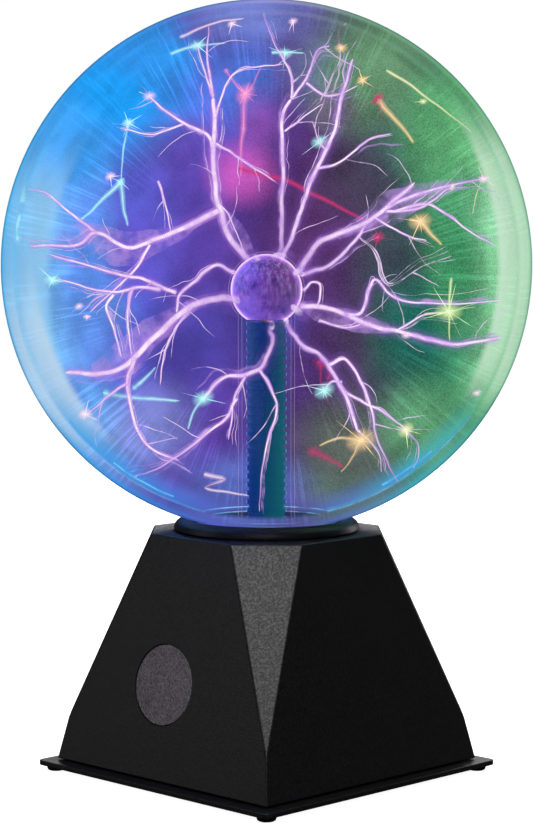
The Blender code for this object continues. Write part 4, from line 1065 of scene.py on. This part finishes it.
# Smears of coloured light on the wall: colour, side, then (across, up) points and a radius
SMEARS = (
    ("magenta", 0.9, ((-0.08, 0.65), (-0.09, 0.52), (-0.10, 0.34)), 0.55),
    ("magenta", 0.9, ((-0.16, 0.74), (-0.08, 0.65), (-0.02, 0.75)), 0.30),
    ("red", 0.9, ((-0.11, 0.37), (0.05, 0.33), (0.19, 0.27), (0.42, 0.15)), 0.55),
    ("red", 0.9, ((0.19, -0.36), (0.24, -0.39), (0.23, -0.43)), 0.8),
    ("red", 0.9, ((0.17, -0.70), (0.23, -0.73), (0.29, -0.76)), 0.8),
    ("pink", 0.9, ((-0.24, -0.79), (-0.16, -0.81), (-0.23, -0.84), (-0.06, -0.87)), 0.36),
    ("orange", -0.6, ((0.58, 0.17), (0.62, 0.12), (0.66, 0.08)), 0.40),
    ("orange", 0.9, ((0.42, 0.63), (0.49, 0.55), (0.56, 0.46)), 0.45),
    ("yellow", 0.9, ((0.45, 0.74), (0.61, 0.63), (0.77, 0.51)), 0.22),
    ("green", -0.4, ((0.70, -0.04), (0.695, -0.17), (0.69, -0.28)), 0.20),
    ("green", -0.4, ((0.60, -0.18), (0.69, -0.17), (0.79, -0.15)), 0.16),
    ("orange", 0.9, ((0.36, -0.66), (0.28, -0.65), (0.20, -0.68)), 0.30),
    ("orange", 0.9, ((0.36, -0.66), (0.33, -0.72), (0.28, -0.78)), 0.26),
    ("cyan", 0.9, ((-0.36, 0.80), (-0.26, 0.83), (-0.15, 0.84)), 0.24),
    ("cyan", 0.9, ((0.02, 0.80), (0.07, 0.80), (0.14, 0.80)), 0.26),
    ("cyan", 0.9, ((-0.24, -0.50), (-0.28, -0.56), (-0.30, -0.62)), 0.30),
    ("pink", 0.9, ((-0.33, 0.86), (-0.20, 0.91), (-0.08, 0.93)), 0.22),
    ("pink", 0.8, ((0.28, 0.82), (0.27, 0.88), (0.30, 0.92)), 0.30),
    ("red", 0.8, ((0.20, -0.35), (0.21, -0.44), (0.23, -0.52)), 0.28),
    ("yellow", 0.8, ((0.86, 0.44), (0.80, 0.30), (0.78, 0.20)), 0.16),
    ("cyan", 0.9, ((-0.62, -0.48), (-0.48, -0.50), (-0.33, -0.51)), 0.45),
    ("cyan", 0.9, ((-0.51, -0.46), (-0.46, -0.42), (-0.42, -0.38)), 0.35),
    ("cyan", 0.9, ((-0.55, 0.32), (-0.62, 0.25), (-0.71, 0.17)), 0.40),
    ("cyan", 0.9, ((-0.55, 0.32), (-0.54, 0.22), (-0.52, 0.15)), 0.40),
    ("cyan", 0.9, ((-0.52, 0.54), (-0.54, 0.43), (-0.55, 0.32)), 0.22),
    ("cyan", 0.7, ((-0.93, 0.24), (-0.92, 0.31), (-0.91, 0.36)), 0.55),
    ("cyan", 0.7, ((-0.94, 0.10), (-0.94, 0.15), (-0.93, 0.20)), 0.50),
)
GLINT_COLOURS = {
    "pink": ((1.0, 0.90, 0.98), (0.95, 0.40, 0.75)),
    "magenta": ((1.0, 0.62, 0.86), (0.90, 0.22, 0.66)),
    "red": ((0.80, 0.22, 0.46), (0.52, 0.12, 0.38)),
    "orange": ((1.0, 0.88, 0.66), (0.95, 0.45, 0.15)),
    "yellow": ((1.0, 1.0, 0.80), (0.75, 0.80, 0.30)),
    "green": ((0.92, 1.0, 0.75), (0.45, 0.85, 0.30)),
    "cyan": ((0.75, 1.0, 1.0), (0.10, 0.70, 0.90)),
}
# Lines of light by the outline: start and end angle, reach, radius
RIM_LINES = (
    (-142.0, -104.0, 0.962, 0.30), (-128.0, -112.0, 0.945, 0.20), (-76.0, -36.0, 0.960, 0.30),
    (-62.0, -48.0, 0.940, 0.20), (-168.0, -146.0, 0.970, 0.22), (20.0, 62.0, 0.968, 0.16),
)


def star_rays(across, up, side, size, rays, turn, chance):
    """The uneven rays of one star glint, most of them short."""
    depth = depth_at(across, up, side)
    made = []
    for ray in range(rays * 2):
        angle = turn + math.pi * ray / rays + chance.uniform(-0.35, 0.35)
        reach = size * chance.choice((0.35, 0.5, 0.7, 1.5))
        places = [seen(across + reach * along * math.cos(angle),
                       up + reach * along * math.sin(angle), depth) for along in STAR_OFFSETS]
        made.append((places, STAR_RADII))
    return made


def build_glints():
    """Coloured star glints and smears where the light catches the wall."""
    chance = random.Random(5)
    for colour, (core, edge) in GLINT_COLOURS.items():
        finish = glow_finish("glint_" + colour, core, edge, 1.2, density=0.80, softness=1.6,
                             patchy=True)
        haze = glow_finish("glint_haze_" + colour, core, edge, 1.0, density=0.34, softness=4.0)
        bright = glow_finish("glint_heart_" + colour, [0.5 + 0.5 * c for c in core], core, 1.1,
                             density=1.0, softness=1.5)
        strands, spots, hearts = [], [], []
        for kind, across, up, side, size, rays, turn in STARS:
            if kind == colour:
                strands += star_rays(across, up, side, size, rays, turn, chance)
                depth = depth_at(across, up, side)
                for wide, tall in ((0.22, 0.18), (0.42, 0.34), (0.80, 0.60)):
                    spots.append((across, up, depth, size * wide, size * tall, turn))
                hearts.append((across, up, depth, size * 0.13, size * 0.11, turn))
        glow_lines("glints_" + colour, strands, finish)
        lines = [strand(points, side, thick, thick * 0.4, bent=0.5)
                 for kind, side, points, thick in SMEARS if kind == colour]
        if lines:
            glow_lines("smears_" + colour, lines, finish, widen=0.30)
            glow_lines("smear_glow_" + colour, lines, haze, widen=1.3)
            glow_lines("smear_haze_" + colour, lines, haze, widen=3.2)
        puffs("glow_" + colour, spots, haze)
        puffs("heart_" + colour, hearts, bright)


def rim_route(start, end, reach):
    """(Across, up) places along the globe's outline, with angles from the right in degrees."""
    count = 12
    angles = [math.radians(start + (end - start) * step / count) for step in range(count + 1)]
    return [(reach * math.cos(angle), reach * math.sin(angle)) for angle in angles]


def ring_of(radius, height):
    """A level circle round the lamp's axis, as a route for a line of light."""
    places = [Vector((radius * math.cos(turn), radius * math.sin(turn), height))
              for turn in (math.tau * step / 72 for step in range(73))]
    return places, [0.22] * len(places)


def build_rim_lines(bright, soft):
    """Lines of light along the lower outline and round the foot of the globe."""
    routes = [strand(rim_route(start, end, reach), 0.0, thick, 0.12, bent=0.3)
              for start, end, reach, thick in RIM_LINES]
    glow_lines("rim_lines", routes, bright)
    glow_lines("rim_glow", routes, soft, widen=4.0)
    foot = CENTRE.z - GLOBE_RADIUS * 0.945
    glow_lines("foot_rings", [ring_of(17.6 * MM, foot), ring_of(16.0 * MM, foot - 0.9 * MM)],
               bright)


# ---------------------------------------------------------------- base

def outside_edge(edge):
    """True for an edge on the outer skin of a tapered body."""
    def outer(vert):
        place = vert.co
        half = HOUSING_HIGH.x - (place.z - HOUSING_LOW.z) * TAPER
        widest = max(abs(place.x), abs(place.y))
        return widest > half - 0.05 * MM
    return edge.calc_length() > 3.0 * MM and all(outer(vert) for vert in edge.verts)


def sharp_edge(edge):
    return edge.calc_face_angle(0.0) > math.radians(60.0)


def plate_edge(edge):
    """True for a sharp edge round the outside of the bottom plate."""
    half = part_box("bottom_plate")[1].x
    return all(max(abs(vert.co.x), abs(vert.co.y)) > half - 1.6 * MM
               and vert.co.z < HOUSING_LOW.z for vert in edge.verts) and sharp_edge(edge)


def build_back(finishes):
    """The parts let into the faces of the base, with their edges rounded."""
    for node, name, width in (("badge_disc", "badge", 0.12), ("switch_rocker", "rocker", 0.12),
                              ("jack_body", "power_inlet", 0.10)):
        softened(node, name, finishes[FINISH_OF[node]], width * MM, sharp_edge, segments=2)


def build_base(black, collar, rubber):
    softened("base_housing", "housing_shell", black, 0.45 * MM, outside_edge)
    softened("bottom_plate", "base_plate", black, 0.25 * MM, plate_edge)
    low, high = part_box("collar_ring")
    seat, outer = low.z, high.x
    profile = eased_profile([(18.5 * MM, seat + 1.7 * MM), (19.2 * MM, seat + 2.3 * MM),
                             (20.3 * MM, high.z), (21.5 * MM, seat + 2.4 * MM),
                             (22.5 * MM, seat + 1.6 * MM), (outer - 0.1 * MM, seat + 0.7 * MM),
                             (outer, seat + 0.15 * MM)], 6)
    profile += [(outer - 0.15 * MM, seat), (18.6 * MM, seat), (18.5 * MM, seat + 0.1 * MM)]
    ring = add_piece("collar", turned(profile[::-1], 144), collar)
    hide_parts("collar_ring")
    for number in range(1, 5):
        node = f"rubber_foot_{number}"
        low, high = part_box(node)
        middle = (low + high) / 2
        radius = (high.x - low.x) / 2
        side = [(0.0, high.z), (radius, high.z), (radius, low.z + 0.6 * MM),
                (radius - 0.15 * MM, low.z + 0.25 * MM), (radius - 0.45 * MM, low.z + 0.05 * MM),
                (radius - 0.8 * MM, low.z), (0.0, low.z)]
        spot = Matrix.Translation((middle.x, middle.y, 0.0))
        foot = add_piece(f"foot_{number}", turned(side, 40, spot), rubber)
        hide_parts(node)


# ---------------------------------------------------------------- other finishes

def build_finishes():
    """The finishes of the base, and of every CAD node that still shows."""
    return {
        "black_plastic": plastic_finish("black_plastic", (0.070, 0.064, 0.075), 0.40,
                                        specular=0.5),
        "collar_black": plastic_finish("collar_black", (0.09, 0.085, 0.095), 0.38,
                                       fineness=1800.0, grain=0.08),
        "inlay_grey": plastic_finish("inlay_grey", (0.46, 0.435, 0.46), 0.55,
                                     fineness=2200.0, grain=0.3),
        "switch_black": plastic_finish("switch_black", (0.10, 0.10, 0.105), 0.3,
                                       fineness=1500.0, grain=0.05, specular=0.5),
        "rubber": plastic_finish("rubber", (0.13, 0.13, 0.13), 0.75, 1400.0, 0.15, 0.3),
        "steel": metal_finish("zinc_steel", (0.78, 0.78, 0.79), 0.34),
        "brass": metal_finish("brass", (0.86, 0.72, 0.42), 0.3),
        "board_green": plastic_finish("board_green", (0.05, 0.36, 0.20), 0.4, 700.0, 0.1),
        "ferrite": plastic_finish("ferrite", (0.24, 0.24, 0.25), 0.65, 1100.0, 0.3),
        "copper_wire": metal_finish("copper_wire", (0.84, 0.48, 0.26), 0.35),
        "yellow_tape": plastic_finish("yellow_tape", (0.86, 0.72, 0.16), 0.45, 500.0, 0.1),
        "white_nylon": plastic_finish("white_nylon", (0.90, 0.90, 0.87), 0.5, 900.0, 0.08),
        "aluminium": metal_finish("aluminium", (0.87, 0.87, 0.88), 0.4),
        "capacitor_sleeve": plastic_finish("capacitor_sleeve", (0.12, 0.18, 0.42), 0.4, 600.0,
                                           0.05),
        "red_film": plastic_finish("red_film", (0.68, 0.16, 0.12), 0.42, 600.0, 0.08),
        "resistor_tan": plastic_finish("resistor_tan", (0.80, 0.69, 0.53), 0.5, 900.0, 0.1),
        "lead_red": plastic_finish("lead_red", (0.66, 0.08, 0.07), 0.45, 900.0, 0.05),
        "lead_black": plastic_finish("lead_black", (0.09, 0.09, 0.09), 0.45, 900.0, 0.05),
        "lead_white": plastic_finish("lead_white", (0.85, 0.85, 0.83), 0.45, 900.0, 0.05),
    }


def dress_nodes(finishes):
    """Give every CAD node that still shows its finish."""
    for node, piece in frame["nodes"].items():
        if piece.hide_render:
            continue
        piece.data.materials.clear()
        piece.data.materials.append(finishes[FINISH_OF[node]])


# ---------------------------------------------------------------- studio

def add_light(name, place, target, size, power, lit):
    """A softbox facing a point, for some pieces only; the camera doesn't see it."""
    data = bpy.data.lights.new(name, "AREA")
    data.shape = "RECTANGLE"
    data.size, data.size_y = size
    data.energy = power
    light = bpy.data.objects.new(name, data)
    light.location = place
    light.rotation_euler = (target - place).to_track_quat("-Z", "Y").to_euler()
    light.visible_camera = False
    bpy.context.scene.collection.objects.link(light)
    light.light_linking.receiver_collection = lit


def build_camera():
    scene = bpy.context.scene
    data = bpy.data.cameras.new("camera")
    data.lens = LENS
    data.sensor_width = 36.0
    data.clip_end = 10.0
    camera = bpy.data.objects.new("camera", data)
    camera.location = CENTRE + GLOBE_RADIUS * (EYE_RISE * UP - EYE_DISTANCE * AWAY)
    camera.rotation_euler = (math.pi / 2 - PITCH, 0.0, math.radians(45.0))
    scene.collection.objects.link(camera)
    scene.camera = camera


def build_surroundings():
    """White to the camera, and dim to what mirrors it."""
    world = bpy.data.worlds.new("studio")
    bpy.context.scene.world = world
    world.use_nodes = True
    tree = world.node_tree
    tree.nodes.clear()
    out = tree.nodes.new("ShaderNodeOutputWorld")
    show_camera(tree, out, shader_of(tree, "Background", Color=(0.05, 0.05, 0.055, 1.0)),
                shader_of(tree, "Background", Color=(1.0, 1.0, 1.0, 1.0)))


def build_floor():
    """The pale floor, which takes shadows but throws little light back."""
    shape = bmesh.new()
    bmesh.ops.create_grid(shape, x_segments=1, y_segments=1, size=6.0)
    mesh = bpy.data.meshes.new("floor")
    shape.to_mesh(mesh)
    shape.free()
    floor = bpy.data.objects.new("floor", mesh)
    bpy.context.scene.collection.objects.link(floor)
    floor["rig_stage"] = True
    made, tree, out = bare_material("pale_floor")
    bright = tree.nodes.new("ShaderNodeAddShader")
    tree.links.new(shader_of(tree, "BsdfDiffuse", Color=(0.9, 0.9, 0.9, 1.0)), bright.inputs[0])
    tree.links.new(shader_of(tree, "Emission", Strength=0.97), bright.inputs[1])
    show_camera(tree, out, shader_of(tree, "BsdfDiffuse", Color=(0.08, 0.08, 0.08, 1.0)),
                bright.outputs[0])
    mesh.materials.append(made)
    return floor


def build_lights(floor):
    """Softboxes that light the floor and every piece that doesn't glow."""
    solid = bpy.data.collections.new("lit_by_softboxes")
    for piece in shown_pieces() + [floor]:
        if not piece.data.materials[0].name.startswith(UNLIT):
            solid.objects.link(piece)
    aim = Vector((0.0, 0.0, 0.04))
    add_light("key_softbox", aim + 0.9 * (-0.72 * AWAY - 0.05 * RIGHT + 0.68 * UP), aim,
              (0.36, 0.26), 2.7, solid)
    add_light("left_softbox", CENTRE + 0.75 * (-0.97 * RIGHT - 0.10 * AWAY + 0.10 * UP), CENTRE,
              (0.30, 0.45), 0.25, solid)
    add_light("right_rear_softbox", CENTRE + 0.75 * (0.72 * RIGHT + 0.70 * AWAY + 0.05 * UP),
              CENTRE, (0.25, 0.55), 0.8, solid)
    add_light("back_softbox", aim + 0.8 * (0.80 * AWAY + 0.10 * RIGHT + 0.55 * UP), aim,
              (0.5, 0.4), 2.4, solid)
    add_light("top_softbox", CENTRE + 0.8 * UP, CENTRE, (0.6, 0.6), 3.0, solid)


def build_studio():
    bpy.context.scene.view_settings.view_transform = "Standard"
    bpy.context.scene.cycles.transparent_max_bounces = 96
    build_camera()
    build_surroundings()
    build_lights(build_floor())


# ---------------------------------------------------------------- the whole lamp

FINISH_OF = {part["node"]: part["material_slot"] for part in frame["record"]["subparts"]}
GRAIN_GROUP = build_grain_group()
GLOW_GROUP = build_glow_group()
AXES_GROUP = build_axes_group()
GAS_GROUP = build_gas_group(AXES_GROUP)

noise.seed_set(WANDER_SEED)
finishes = build_finishes()
clear_glass = glass_finish("clear_glass", GAS_GROUP, (1.0, 1.0, 1.0, 1.0), 0.70, 0.80, 1.0, 0.0)
tube_glass = glass_finish("tube_glass", GAS_GROUP, (0.96, 0.97, 1.0, 1.0), 0.80, 0.96, 0.42,
                          0.75)
build_globe(clear_glass, gas_finish(GAS_GROUP))
build_stem(tube_glass, electrode_finish(AXES_GROUP), sleeve_finish(AXES_GROUP))
build_streamers(
    glow_finish("streamer_core", (1.0, 0.94, 0.98), (0.84, 0.64, 0.91), 1.15, 1.05, 1.4),
    glow_finish("streamer_thread", (0.94, 0.84, 0.97), (0.80, 0.66, 0.92), 1.0, 0.62, 0.8, True),
    glow_finish("streamer_sheath", (0.80, 0.58, 0.92), (0.66, 0.46, 0.86), 1.0, 0.44, 1.5, True),
    glow_finish("streamer_haze", (0.66, 0.44, 0.90), (0.54, 0.40, 0.84), 0.9, 0.10, 1.8),
    glow_finish("veil", (0.80, 0.64, 0.93), (0.66, 0.50, 0.90), 1.0, 0.20, 0.5, True))
build_glints()
build_rim_lines(glow_finish("glint_rim", (0.62, 0.96, 1.0), (0.30, 0.72, 0.95), 1.0, 0.6, 1.2,
                            True),
                glow_finish("glint_rim_soft", (0.30, 0.66, 0.95), (0.22, 0.50, 0.90), 1.0, 0.4,
                            1.8))
build_base(finishes["black_plastic"], finishes["collar_black"], finishes["rubber"])
build_back(finishes)
dress_nodes(finishes)
build_studio()
